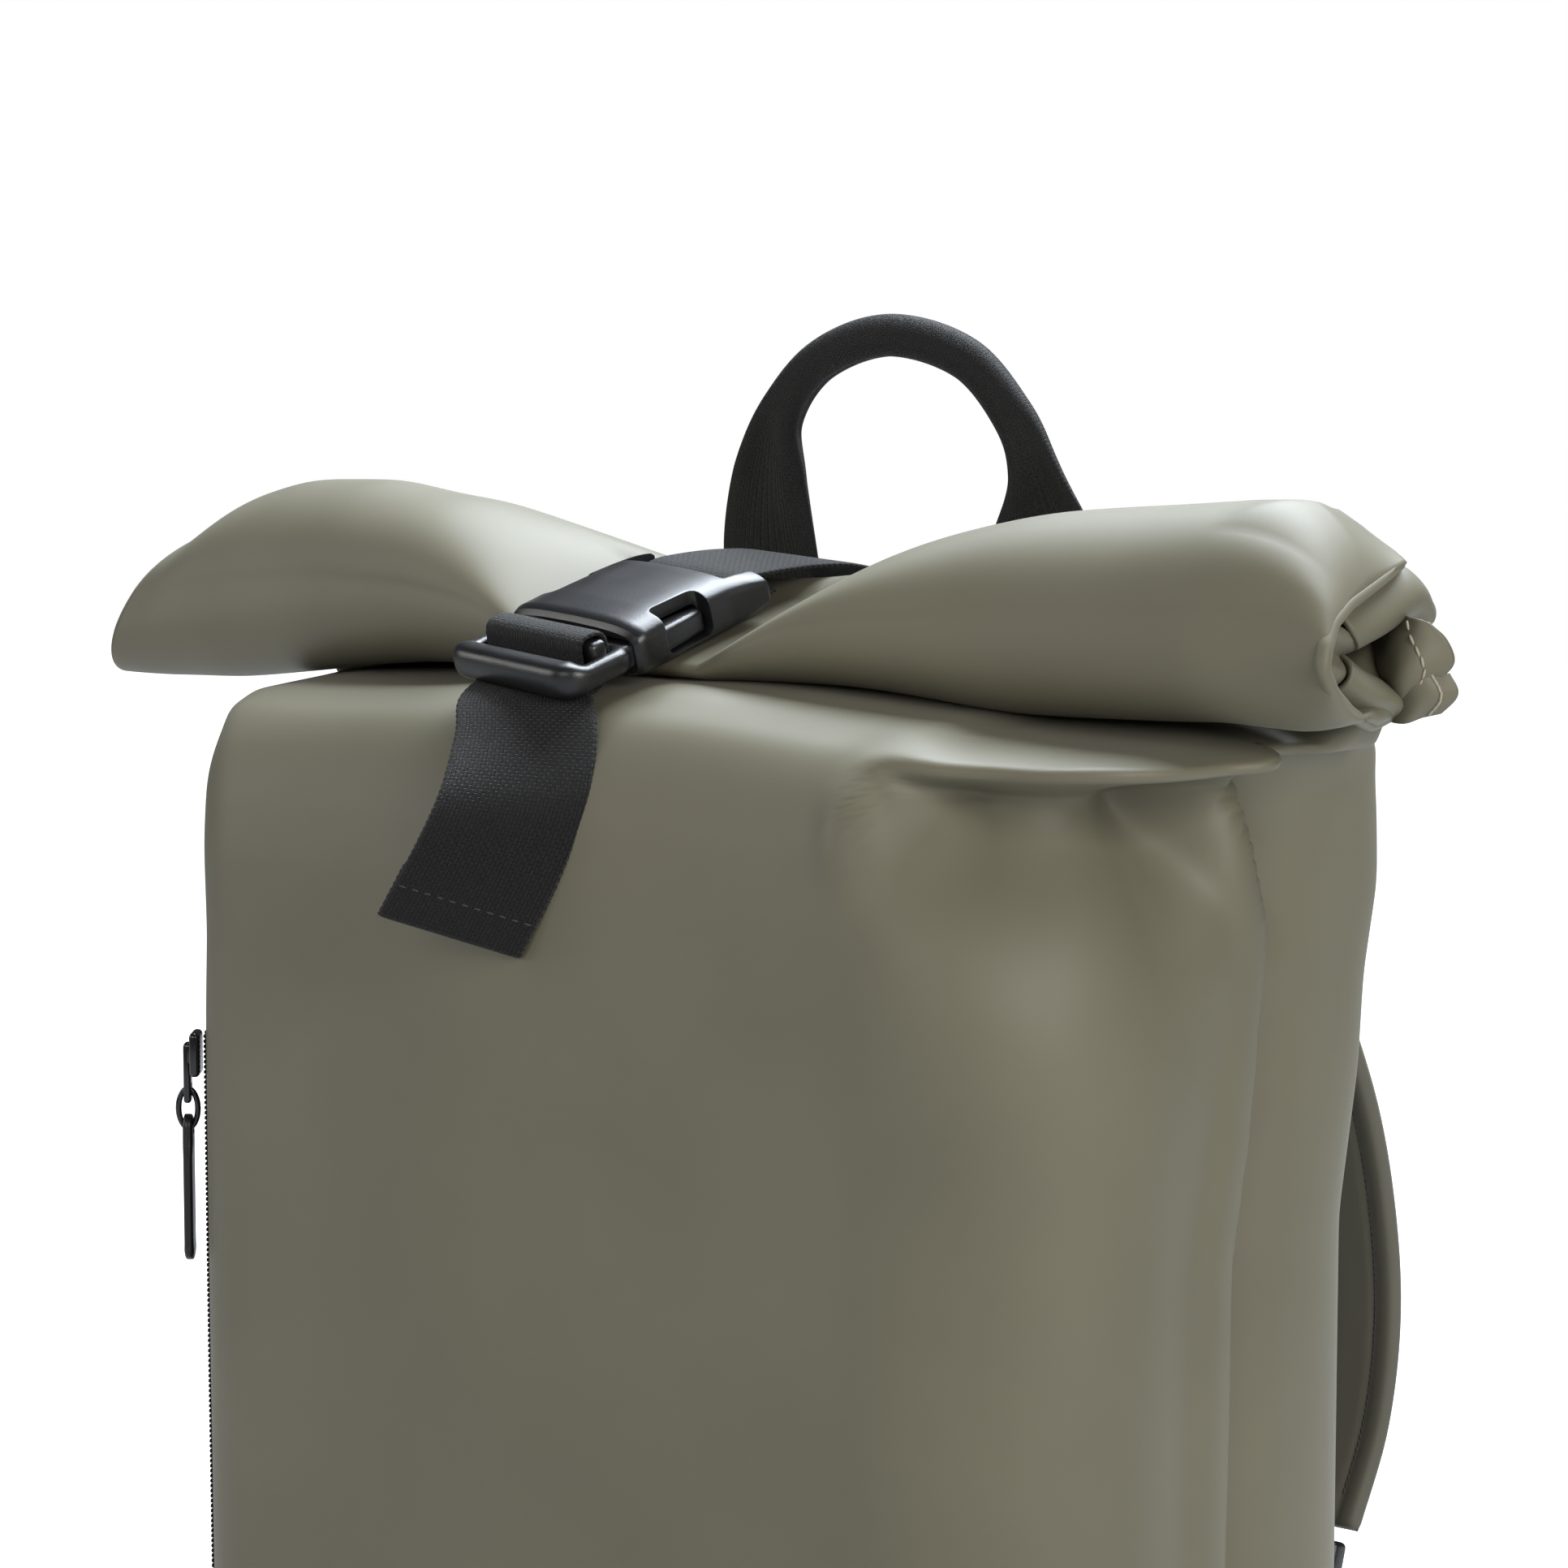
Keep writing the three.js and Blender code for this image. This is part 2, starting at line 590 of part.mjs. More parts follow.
function plugSolid() {
  const outline = roundedRectangle(-halfBuckle, halfBuckle, 0, plugShoulder, BAR_DEPTH * 0.6);
  const frame = new THREE.ExtrudeGeometry(outline, {
    depth: BAR_THICKNESS,
    bevelEnabled: false,
    curveSegments: 4,
  });
  frame.translate(0, 0, -BAR_THICKNESS / 2);
  const openingY = [BAR_DEPTH, plugShoulder - SOCKET_WALL];
  const opening = block([-halfSlot, halfSlot], openingY, [-BAR_THICKNESS, BAR_THICKNESS]);
  const middleBar = block(
    [-halfSlot - SOCKET_WALL, halfSlot + SOCKET_WALL],
    [middleBarFront, middleBarBack],
    [MIDDLE_BAR_RISE - MIDDLE_BAR_THICKNESS / 2, MIDDLE_BAR_RISE + MIDDLE_BAR_THICKNESS / 2],
  );
  let solid = solidFrom(frame).subtract(solidFrom(opening)).add(solidFrom(middleBar));
  const prongZ = [-PRONG_THICKNESS / 2, PRONG_THICKNESS / 2];
  const prongY = [plugShoulder - SOCKET_WALL, plugShoulder + PRONG_LENGTH];
  for (const side of [-1, 1]) {
    const xs = [side * prongOut, side * (prongOut - PRONG_WIDTH)].sort((a, b) => a - b);
    solid = solid.add(solidFrom(block(xs, prongY, prongZ)));
  }
  const guide = block([-PRONG_WIDTH / 2, PRONG_WIDTH / 2], prongY, prongZ);
  return solid.add(solidFrom(guide));
}

function socketSolid() {
  const outline = roundedRectangle(-halfBuckle, halfBuckle, socketFront, socketBack, BAR_DEPTH * 0.6);
  const outer = new THREE.ExtrudeGeometry(outline, {
    depth: SOCKET_THICKNESS,
    bevelEnabled: false,
    curveSegments: 4,
  });
  outer.translate(0, 0, -SOCKET_THICKNESS / 2);
  const cavityZ = PRONG_THICKNESS / 2 + BUCKLE_CLEARANCE;
  const cavityX = prongOut + BUCKLE_CLEARANCE;
  const cavityBack = plugShoulder + PRONG_LENGTH + BUCKLE_CLEARANCE;
  const cavity = block([-cavityX, cavityX], [socketFront - 1, cavityBack], [-cavityZ, cavityZ]);
  const windowFront = cavityBack - WINDOW_LENGTH;
  const windows = block([-halfBuckle - 1, halfBuckle + 1], [windowFront, cavityBack], [-cavityZ, cavityZ]);
  const slotZ = [-SOCKET_THICKNESS, SOCKET_THICKNESS];
  const slot = block([-halfSlot, halfSlot], [rearSlotFront, rearBarFront], slotZ);
  let solid = solidFrom(outer);
  for (const cut of [cavity, windows, slot]) solid = solid.subtract(solidFrom(cut));
  for (const side of [-1, 1]) {
    const zs = [(side * REAR_BAR_THICKNESS) / 2, side * SOCKET_THICKNESS].sort((a, b) => a - b);
    solid = solid.subtract(solidFrom(block([-halfSlot, halfSlot], [rearBarFront - 1, socketBack + 1], zs)));
  }
  return solid;
}

// Closure strap: from the back of the sack over the roll, round the socket's rear bar and back

const overBar = REAR_BAR_THICKNESS / 2 + FIT_GAP + WEBBING_THICKNESS / 2;
const beforeBar = rearBarFront - FIT_GAP - WEBBING_THICKNESS / 2;
const backFace = (z) => sectionAt(z).back + FIT_GAP + WEBBING_THICKNESS / 2;
const strapTop = ROLL_CENTRE_Z + WEBBING_THICKNESS + 4;
const strapRuns = [
  { x: 0, y: backFace(BACK_PAD_TOP + 6), z: BACK_PAD_TOP + 6, turn: 0 },
  { x: 0, y: backFace(BODY_HEIGHT * 0.94) + 1, z: BODY_HEIGHT * 0.94, turn: 0 },
  { x: 0, y: backFace(BODY_HEIGHT * 0.97) + 4, z: BODY_HEIGHT * 0.98, turn: 0.1 },
  { x: -3, y: NECK_Y + NECK_DEPTH + 21, z: NECK_TOP + 3, turn: 0.3 },
  { x: -7, y: NECK_Y + NECK_DEPTH + 8, z: strapTop - 6, turn: 0.5 },
  { x: -10, y: NECK_Y - 3, z: strapTop + 0.5, turn: 0.7 },
  { x: -13, y: 10, z: strapTop + 1.5, turn: 0.9 },
];
const strapPoint = (row) => vector(row.x, row.y, row.z);
const strapStations = stationsAlong(strapRuns, 18, strapPoint).map(({ at, blend }) => ({
  at,
  side: straightSide.clone().lerp(buckleSide, blend("turn")).normalize(),
}));
const barLoop = [
  [socketBack + 2, overBar],
  [rearBarFront, overBar],
  [beforeBar, overBar * 0.6],
  [beforeBar, -overBar * 0.6],
  [rearBarFront, -overBar],
  [socketBack + 8, -overBar],
];
strapStations.push(...barLoop.map(([y, z]) => ({ at: inBuckle(y, z), side: buckleSide })));

// Front strap: sewn to the front of the sack, up behind the plug's middle bar, over it, down under
// the front bar, and then its free tail

const overMiddle = MIDDLE_BAR_RISE + MIDDLE_BAR_THICKNESS / 2 + FIT_GAP + WEBBING_THICKNESS / 2;
const underFront = -(BAR_THICKNESS / 2 + FIT_GAP + WEBBING_THICKNESS / 2);
const layerStep = WEBBING_THICKNESS + 2 * FIT_GAP;
const FRONT_ANCHOR_Z = 362;
const TAIL_LENGTH = 50;
const TAIL_REACH = 4;
const TAIL_START_OUT = 6;
const tailTwist = vector(0.76, 0.56, -0.33).normalize();

const anchorX = BUCKLE_POSITION.x - 2;
const anchorY = (rise) => frontAt(FRONT_ANCHOR_Z + rise - CROWN_HEIGHT) - layerStep;
const frontRuns = [0, 8, 16].map((rise) => ({
  at: vector(anchorX, anchorY(rise), FRONT_ANCHOR_Z + rise),
  side: straightSide.clone().lerp(buckleSide, rise / 32).normalize(),
}));
const barGap = FIT_GAP + WEBBING_THICKNESS / 2;
const plugRuns = [
  [BAR_DEPTH + 3, underFront - layerStep - 0.6],
  [middleBarFront + 1, underFront - layerStep + 0.4],
  [middleBarBack, underFront + 0.5],
  [middleBarBack + barGap + 0.7, -1.5],
  [middleBarBack + barGap + 0.3, MIDDLE_BAR_RISE],
  [middleBarBack + barGap + 0.2, overMiddle - 1],
  [middleBarBack + 0.2, overMiddle + 0.1],
  [middleBarFront - 0.2, overMiddle + 0.1],
  [middleBarFront - barGap - 0.2, overMiddle - 1],
  [middleBarFront - barGap - 0.3, MIDDLE_BAR_RISE],
  [BAR_DEPTH + 3.6, -2.5],
  [BAR_DEPTH + 2.6, underFront + 0.6],
  [BAR_DEPTH + 0.6, underFront - 0.3],
  [1, underFront - 0.2],
];
frontRuns.push(...plugRuns.map(([y, z]) => ({ at: inBuckle(y, z), side: buckleSide })));
const tailStart = inBuckle(-1.5, underFront - 4);
const TAIL_STEPS = 7;
const tailFront = tailStart.y - frontAt(tailStart.z - TAIL_LENGTH);
for (let step = 0; step <= TAIL_STEPS; step++) {
  const share = step / TAIL_STEPS;
  frontRuns.push({
    at: vector(
      tailStart.x + share * 8,
      tailStart.y
        - tailFront * share
        - TAIL_START_OUT * (0.8 + smooth(share, 0, 0.35))
        - TAIL_REACH * share ** 1.5,
      tailStart.z - 2 - TAIL_LENGTH * share,
    ),
    side: buckleSide.clone().lerp(tailTwist, share ** 1.5).normalize(),
  });
}
// Grab handle: flat webbing legs on the back, folded to a round grip at the top. rise is a share of
// the way from the legs' foot to the top, flat the share of the full width, lean the share of the way
// from the sack's back to the grip.
const HANDLE_RUN = [
  { across: -0.5, rise: 0, flat: 1, lean: 0 },
  { across: -0.5, rise: 0.13, flat: 1, lean: 0.1 },
  { across: -0.495, rise: 0.28, flat: 1, lean: 0.35 },
  { across: -0.485, rise: 0.42, flat: 1, lean: 0.68 },
  { across: -0.475, rise: 0.54, flat: 0.93, lean: 0.88 },
  { across: -0.45, rise: 0.71, flat: 0.55, lean: 0.98 },
  { across: -0.4, rise: 0.84, flat: 0.12, lean: 1 },
  { across: -0.25, rise: 0.95, flat: 0, lean: 1 },
  { across: 0, rise: 1, flat: 0, lean: 1 },
  { across: 0.27, rise: 0.955, flat: 0, lean: 1 },
  { across: 0.44, rise: 0.84, flat: 0.04, lean: 1 },
  { across: 0.51, rise: 0.73, flat: 0.25, lean: 0.98 },
  { across: 0.53, rise: 0.58, flat: 1, lean: 0.88 },
  { across: 0.52, rise: 0.44, flat: 1, lean: 0.68 },
  { across: 0.51, rise: 0.28, flat: 1, lean: 0.35 },
  { across: 0.5, rise: 0.13, flat: 1, lean: 0.1 },
  { across: 0.5, rise: 0, flat: 1, lean: 0 },
];
const handleFoot = BACK_PAD_TOP + 3;
const handleBack = backFace(handleFoot);
const handlePlace = (row) =>
  vector(
    row.across * HANDLE_SPAN,
    lerp(handleBack, HANDLE_Y, row.lean),
    lerp(handleFoot, HANDLE_TOP - GRIP_WIDTH / 2, row.rise),
  );
const handleCurve = stationsAlong(HANDLE_RUN, 40, handlePlace);
const handleStations = handleCurve.map(({ at, blend }, index) => {
  const previous = handleCurve[Math.max(index - 1, 0)].at;
  const next = handleCurve[Math.min(index + 1, handleCurve.length - 1)].at;
  const flat = blend("flat");
  return {
    at,
    side: next.clone().sub(previous).cross(vector(0, 1, 0)).normalize(),
    width: lerp(GRIP_WIDTH, HANDLE_WIDTH, flat),
    thickness: lerp(GRIP_THICKNESS, WEBBING_THICKNESS, Math.sqrt(flat)),
  };
});

// Shoulder straps and their webbing. drop is a share of the way from the strap's top to its bottom,
// out a share of its stand-off, across a share of SHOULDER_STRAP_X.
const SHOULDER_RUN = [
  { drop: 0, out: 0, across: 0.62, width: 0.8 },
  { drop: 0.07, out: 0.12, across: 0.67, width: 0.86 },
  { drop: 0.13, out: 0.38, across: 0.76, width: 0.94 },
  { drop: 0.2, out: 0.6, across: 0.86, width: 1 },
  { drop: 0.34, out: 0.77, across: 0.94, width: 1 },
  { drop: 0.5, out: 0.89, across: 0.98, width: 1 },
  { drop: 0.68, out: 0.98, across: 1, width: 0.94 },
  { drop: 0.85, out: 0.97, across: 1, width: 0.84 },
  { drop: 1, out: 0.82, across: 1, width: 0.72 },
];
const strapInner = backPadOuter + FIT_GAP + SHOULDER_STRAP_THICKNESS / 2;
function shoulderStations(side) {
  const place = (row) =>
    vector(
      side * SHOULDER_STRAP_X * row.across,
      strapInner + SHOULDER_STRAP_STANDOFF * row.out,
      lerp(SHOULDER_STRAP_TOP, SHOULDER_STRAP_BOTTOM, row.drop),
    );
  return stationsAlong(SHOULDER_RUN, 24, place).map(({ at, blend }) => ({
    at,
    side: straightSide,
    width: SHOULDER_STRAP_WIDTH * blend("width"),
    thickness: SHOULDER_STRAP_THICKNESS,
  }));
}

// The lower webbing leaves the strap's end face, passes through the slider and ends on its anchor.
function lowerWebbing(side) {
  const stations = shoulderStations(side);
  const end = stations.at(-1).at;
  const down = end.clone().sub(stations.at(-2).at).normalize();
  const anchorFace = backPadOuter + 2 * FIT_GAP + ANCHOR_THICKNESS + WEBBING_THICKNESS / 2;
  const anchorTop = ANCHOR_BOTTOM + ANCHOR_HEIGHT;
  const rows = [
    end.clone().addScaledVector(down, FIT_GAP),
    end.clone().addScaledVector(down, SLIDER_HEIGHT / 2 + 4),
    end.clone().addScaledVector(down, SLIDER_HEIGHT + 8),
    vector(side * lerp(SHOULDER_STRAP_X, ANCHOR_X, 0.55), anchorFace + 9, anchorTop + 14),
    vector(side * ANCHOR_X, anchorFace + 1, anchorTop - 4),
    vector(side * ANCHOR_X, anchorFace, anchorTop - ANCHOR_HEIGHT / 2),
    vector(side * ANCHOR_X, anchorFace, ANCHOR_BOTTOM + 4),
  ];
  const curve = new THREE.CatmullRomCurve3(rows, false, "centripetal");
  const points = curve.getPoints(16);
  return { down, slider: rows[1], stations: points.map((at) => ({ at, side: straightSide })) };
}

// A flat sleeve around the webbing.
function sliderSolid() {
  const outer = block(
    [-SLIDER_WIDTH / 2, SLIDER_WIDTH / 2],
    [-SLIDER_THICKNESS / 2, SLIDER_THICKNESS / 2],
    [-SLIDER_HEIGHT / 2, SLIDER_HEIGHT / 2],
  );
  const halfWide = LOWER_WEBBING_WIDTH / 2 + 2 * FIT_GAP;
  const halfThick = WEBBING_THICKNESS / 2 + 2 * FIT_GAP;
  const slot = block([-halfWide, halfWide], [-halfThick, halfThick], [-SLIDER_HEIGHT, SLIDER_HEIGHT]);
  return solidFrom(outer).subtract(solidFrom(slot));
}

// Side zip on the front left corner. angle is measured from the left side towards the front.
function zipPoint(z, arc, height) {
  const size = sectionAt(z);
  const angle = radians(ZIP_ANGLE) + arc / LEFT_CORNER_RADIUS;
  const radius = size.leftCorner + height;
  return vector(
    size.leftCorner - size.halfWidth - radius * Math.cos(angle),
    size.front + size.leftCorner - radius * Math.sin(angle),
    z,
  );
}
const ZIP_STEPS = 14;
function zipStrip(width, thickness, height) {
  const middle = Array.from({ length: ZIP_STEPS + 1 }, (_, step) => {
    const z = lerp(ZIP_BOTTOM, ZIP_TOP, step / ZIP_STEPS);
    return [-0.5, 0, 0.5].map((share) => zipPoint(z, share * width, height + thickness / 2));
  });
  return thickSheet(middle, thickness);
}
const tapeHeight = FIT_GAP;
const teethHeight = tapeHeight + ZIP_TAPE_THICKNESS + FIT_GAP;
const zipSliderZ = ZIP_TOP - ZIP_SLIDER_LENGTH / 2 - 2;
const sliderBase = teethHeight + ZIP_TEETH_THICKNESS + FIT_GAP;
const zipOutward = zipPoint(zipSliderZ, 0, 1).sub(zipPoint(zipSliderZ, 0, 0)).normalize();
const zipTurn = Math.atan2(zipOutward.y, zipOutward.x);

// The ring hangs from a lug on the slider, clear of the teeth, and the tab hangs from the ring.
// X points away from the sack here, and the holes run along X.
const ringX = RING_WIDTH / 2 + RING_WIRE + FIT_GAP;
const holeReach = RING_WIRE + FIT_GAP;
const lugHoleZ = -ZIP_SLIDER_LENGTH / 2 - ZIP_LUG_LENGTH / 2;
const tabHoleZ = lugHoleZ - RING_LENGTH;

// A plate with a hole for the ring at a height, with room for the ring's curve.
function withHole(solid, z) {
  const reachX = ringX + PULL_TAB_THICKNESS + ZIP_SLIDER_THICKNESS;
  const reachZ = holeReach + 2 * RING_WIRE;
  const hole = block([-reachX, reachX], [-holeReach, holeReach], [z - reachZ, z + reachZ]);
  return solid.subtract(solidFrom(hole));
}

function zipSliderSolid() {
  const body = block(
    [0, ZIP_SLIDER_THICKNESS],
    [-ZIP_SLIDER_WIDTH / 2, ZIP_SLIDER_WIDTH / 2],
    [-ZIP_SLIDER_LENGTH / 2, ZIP_SLIDER_LENGTH / 2],
  );
  const lugX = [ringX - ZIP_LUG_THICKNESS / 2, ringX + ZIP_LUG_THICKNESS / 2];
  const lugY = [-ZIP_LUG_WIDTH / 2, ZIP_LUG_WIDTH / 2];
  const lug = block(lugX, lugY, [-ZIP_SLIDER_LENGTH / 2 - ZIP_LUG_LENGTH, ZIP_SLIDER_LENGTH / 4]);
  const foot = block([0, lugX[1]], lugY, [-ZIP_SLIDER_LENGTH / 4, ZIP_SLIDER_LENGTH / 4]);
  return withHole(solidFrom(body).add(solidFrom(lug)).add(solidFrom(foot)), lugHoleZ);
}

function pullTabSolid() {
  const body = block(
    [ringX - PULL_TAB_THICKNESS / 2, ringX + PULL_TAB_THICKNESS / 2],
    [-PULL_TAB_WIDTH / 2, PULL_TAB_WIDTH / 2],
    [tabHoleZ + ZIP_LUG_LENGTH / 2 - PULL_TAB_LENGTH, tabHoleZ + ZIP_LUG_LENGTH / 2],
  );
  return withHole(solidFrom(body), tabHoleZ);
}

// An oval ring of round wire, whose upper end is in the lug and whose lower end is in the tab.
function ringSolid() {
  const ring = new THREE.TorusGeometry(1, RING_WIRE / RING_LENGTH, 6, 20);
  const points = ring.attributes.position;
  for (let i = 0; i < points.count; i++) {
    const angle = Math.atan2(points.getY(i), points.getX(i));
    const spoke = (Math.hypot(points.getX(i), points.getY(i)) - 1) * RING_LENGTH;
    const across = Math.cos(angle) * (RING_WIDTH / 2 + spoke);
    const up = Math.sin(angle) * (RING_LENGTH / 2 + spoke);
    points.setXYZ(i, across, up, points.getZ(i) * RING_LENGTH);
  }
  return solidFrom(ring);
}

// Colours and finish

const finish = (color, roughness, metalness = 0) =>
  new THREE.MeshStandardMaterial({ color, roughness, metalness });
const coatedCloth = finish(0x6f6c5b, 0.62);
const padCloth = finish(0x4a483c, 0.85);
const blackWebbing = finish(0x17171a, 0.8);
const blackPlastic = finish(0x1b1b1d, 0.45);
const zipMetal = finish(0x121214, 0.35, 0.6);

const backpack = new THREE.Group();
function add(name, geometry, material, parent = backpack) {
  const mesh = new THREE.Mesh(geometry, material);
  mesh.name = name;
  parent.add(mesh);
  return mesh;
}

add("bag_body", bodyGeometry, coatedCloth);
add("base_panel", baseGeometry, coatedCloth);
add("back_panel", backPadGeometry, padCloth);
add("rolled_top", rollGeometry, coatedCloth);
add("closure_strap", webbing(strapStations, WEBBING_WIDTH), blackWebbing);
add("front_strap", webbing(frontRuns, WEBBING_WIDTH), blackWebbing);
add("grab_handle", paddedBar(handleStations), blackWebbing);

backpack.add(buckle);
add("buckle_socket", geometryOf(socketSolid()), blackPlastic, buckle);
add("buckle_plug", geometryOf(plugSolid()), blackPlastic, buckle);

for (const [name, side] of [["left", -1], ["right", 1]]) {
  const lower = lowerWebbing(side);
  add("shoulder_strap_" + name, paddedBar(shoulderStations(side)), coatedCloth);
  add("strap_webbing_" + name, webbing(lower.stations, LOWER_WEBBING_WIDTH), blackWebbing);
  const slider = add("strap_slider_" + name, geometryOf(sliderSolid()), blackPlastic);
  slider.position.copy(lower.slider);
  slider.quaternion.setFromUnitVectors(vector(0, 0, -1), lower.down);
  const anchor = block(
    [side * ANCHOR_X - ANCHOR_WIDTH / 2, side * ANCHOR_X + ANCHOR_WIDTH / 2],
    [backPadOuter + FIT_GAP, backPadOuter + FIT_GAP + ANCHOR_THICKNESS],
    [ANCHOR_BOTTOM, ANCHOR_BOTTOM + ANCHOR_HEIGHT],
  );
  add("strap_anchor_" + name, anchor, coatedCloth);
}

add("zip_tape", zipStrip(ZIP_TAPE_WIDTH, ZIP_TAPE_THICKNESS, tapeHeight), blackWebbing);
add("zip_teeth", zipStrip(ZIP_TEETH_WIDTH, ZIP_TEETH_THICKNESS, teethHeight), blackPlastic);

const zipHardware = new THREE.Group();
zipHardware.position.copy(zipPoint(zipSliderZ, 0, sliderBase));
zipHardware.rotation.z = zipTurn;
backpack.add(zipHardware);
add("zip_slider", geometryOf(zipSliderSolid()), zipMetal, zipHardware);
const ring = add("pull_ring", geometryOf(ringSolid()), zipMetal, zipHardware);
ring.rotation.x = Math.PI / 2;
ring.position.set(ringX, 0, lugHoleZ - RING_LENGTH / 2);
add("pull_tab", geometryOf(pullTabSolid()), blackPlastic, zipHardware);

export default backpack;
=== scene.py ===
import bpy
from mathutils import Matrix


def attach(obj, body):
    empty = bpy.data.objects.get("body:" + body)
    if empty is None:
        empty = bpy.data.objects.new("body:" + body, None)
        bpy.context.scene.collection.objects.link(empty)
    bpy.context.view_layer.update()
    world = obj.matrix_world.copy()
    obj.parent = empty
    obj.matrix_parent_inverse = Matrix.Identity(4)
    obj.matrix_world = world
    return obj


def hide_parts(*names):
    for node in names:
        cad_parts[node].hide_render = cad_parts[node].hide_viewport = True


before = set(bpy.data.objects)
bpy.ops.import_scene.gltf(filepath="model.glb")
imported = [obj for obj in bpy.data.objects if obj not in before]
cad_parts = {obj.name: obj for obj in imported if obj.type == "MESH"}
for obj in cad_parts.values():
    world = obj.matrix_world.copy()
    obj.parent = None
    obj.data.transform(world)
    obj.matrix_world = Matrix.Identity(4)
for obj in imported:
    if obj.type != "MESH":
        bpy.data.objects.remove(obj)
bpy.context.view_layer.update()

import math

import bpy
import numpy as np
from mathutils import Matrix, Vector

# The camera looks at the roll from the front right and a little above, as in a product photo, with a
# long lens. The studio is a white floor under a white sky, with one large soft light above and behind
# the bag, one at each side and a weak one in front, so the middle of the front stays a little darker.
bpy.ops.object.select_all(action="DESELECT")
camera_data = bpy.data.cameras.new("camera")
camera_data.lens = 98.4
camera_data.sensor_width = 36
camera_data.clip_end = 50
camera = bpy.data.objects.new("camera", camera_data)
bpy.context.scene.collection.objects.link(camera)
camera.location = (0.7689, -0.9124, 0.4895)
look_at = Vector((0.0019, 0.0016, 0.362))
camera.rotation_euler = (look_at - camera.location).to_track_quat("-Z", "Y").to_euler()
bpy.context.scene.camera = camera


def soft_light(name, place, size, power, colour=(1, 1, 1)):
    """An area light that faces the middle of the roll."""
    data = bpy.data.lights.new(name, "AREA")
    data.shape = "RECTANGLE"
    data.size, data.size_y = size
    data.energy = power
    data.color = colour
    light = bpy.data.objects.new(name, data)
    bpy.context.scene.collection.objects.link(light)
    light.location = place
    light.rotation_euler = (roll_middle - Vector(place)).to_track_quat("-Z", "Y").to_euler()


roll_middle = Vector((0, 0, 0.4))
soft_light("light_top", (-0.1, 0.8, 1.8), (1.5, 1.1), 90, (0.85, 0.92, 1))
soft_light("light_left", (-2.0, -1.5, 1.1), (1.0, 1.2), 18, (1, 0.99, 0.97))
soft_light("light_right", (2.2, -0.6, 1.15), (1.1, 1.1), 42, (1, 0.98, 0.95))
soft_light("light_front", (0.4, -2.3, 1.2), (1.4, 0.9), 14)


def set_inputs(node, **values):
    """Sets a node's inputs. Their names are written with _ for each space."""
    for key, value in values.items():
        node.inputs[key.replace("_", " ")].default_value = value


def link_range(tree, source, low, high, target):
    """Leads a value between 0 and 1 to a target, as one between low and high."""
    level = tree.nodes.new("ShaderNodeMapRange")
    set_inputs(level, To_Min=low, To_Max=high)
    tree.links.new(source, level.inputs["Value"])
    tree.links.new(level.outputs["Result"], target)


def white_to_the_eye(tree, lit, seen, strength):
    """A glow that looks white but lights the bag only faintly."""
    ray = tree.nodes.new("ShaderNodeLightPath")
    link_range(tree, ray.outputs["Is Camera Ray"], lit, seen, strength)


world = bpy.data.worlds.new("studio")
bpy.context.scene.world = world
world.use_nodes = True
sky = world.node_tree.nodes["Background"]
WHITE = (1, 1, 1, 1)
set_inputs(sky, Color=WHITE)
white_to_the_eye(world.node_tree, 0.05, 1.0, sky.inputs["Strength"])
bpy.context.scene.view_settings.view_transform = "Standard"

FLOOR_WIDTH = 9
bpy.ops.mesh.primitive_plane_add(size=FLOOR_WIDTH, location=(0, 0, 0))
floor = bpy.context.object
floor.name = "studio_floor"
floor_paint = bpy.data.materials.new("studio_white")
floor_paint.use_nodes = True
floor_shader = floor_paint.node_tree.nodes["Principled BSDF"]
set_inputs(floor_shader, Base_Color=(0.42, 0.42, 0.42, 1), Emission_Color=WHITE)
set_inputs(floor_shader, Roughness=0.9, Specular_IOR_Level=0.1)
white_to_the_eye(floor_paint.node_tree, 0.08, 1.2, floor_shader.inputs["Emission Strength"])
floor.data.materials.append(floor_paint)


# Sack: one bag of smooth matte coated cloth, cut in one piece and welded, with soft corners and side
# gussets that fold inwards. It is filled, so the front bows out, and the roll's weight draws the
# front right corner into a hollow under a hanging fold.
MM = 0.001
GRAIN = 2200
CLOTH = 1.6


def smooth(value, start, end):
    """0 before start, 1 after end, eased between."""
    share = np.clip((np.asarray(value, float) - start) / (end - start), 0, 1)
    return share * share * (3 - 2 * share)


def bell(distance, reach):
    return np.exp(-((np.asarray(distance, float) / reach) ** 2))


def new_finish(name):
    """A material, its node tree and its shader."""
    material = bpy.data.materials.new(name)
    material.use_nodes = True
    return material, material.node_tree, material.node_tree.nodes["Principled BSDF"]


def noise(tree, scale, detail, roughness=0.5):
    """Fine or broad unevenness that stays where it is on the piece."""
    place = tree.nodes.new("ShaderNodeTexCoord")
    made = tree.nodes.new("ShaderNodeTexNoise")
    set_inputs(made, Scale=scale, Detail=detail, Roughness=roughness)
    tree.links.new(place.outputs["Object"], made.inputs["Vector"])
    return made.outputs["Fac"]


def raised(tree, shader, height, strength, distance):
    bump = tree.nodes.new("ShaderNodeBump")
    set_inputs(bump, Strength=strength, Distance=distance)
    tree.links.new(height, bump.inputs["Height"])
    tree.links.new(bump.outputs["Normal"], shader.inputs["Normal"])


def shade_of(colour, share):
    return [channel * share for channel in colour] + [1]


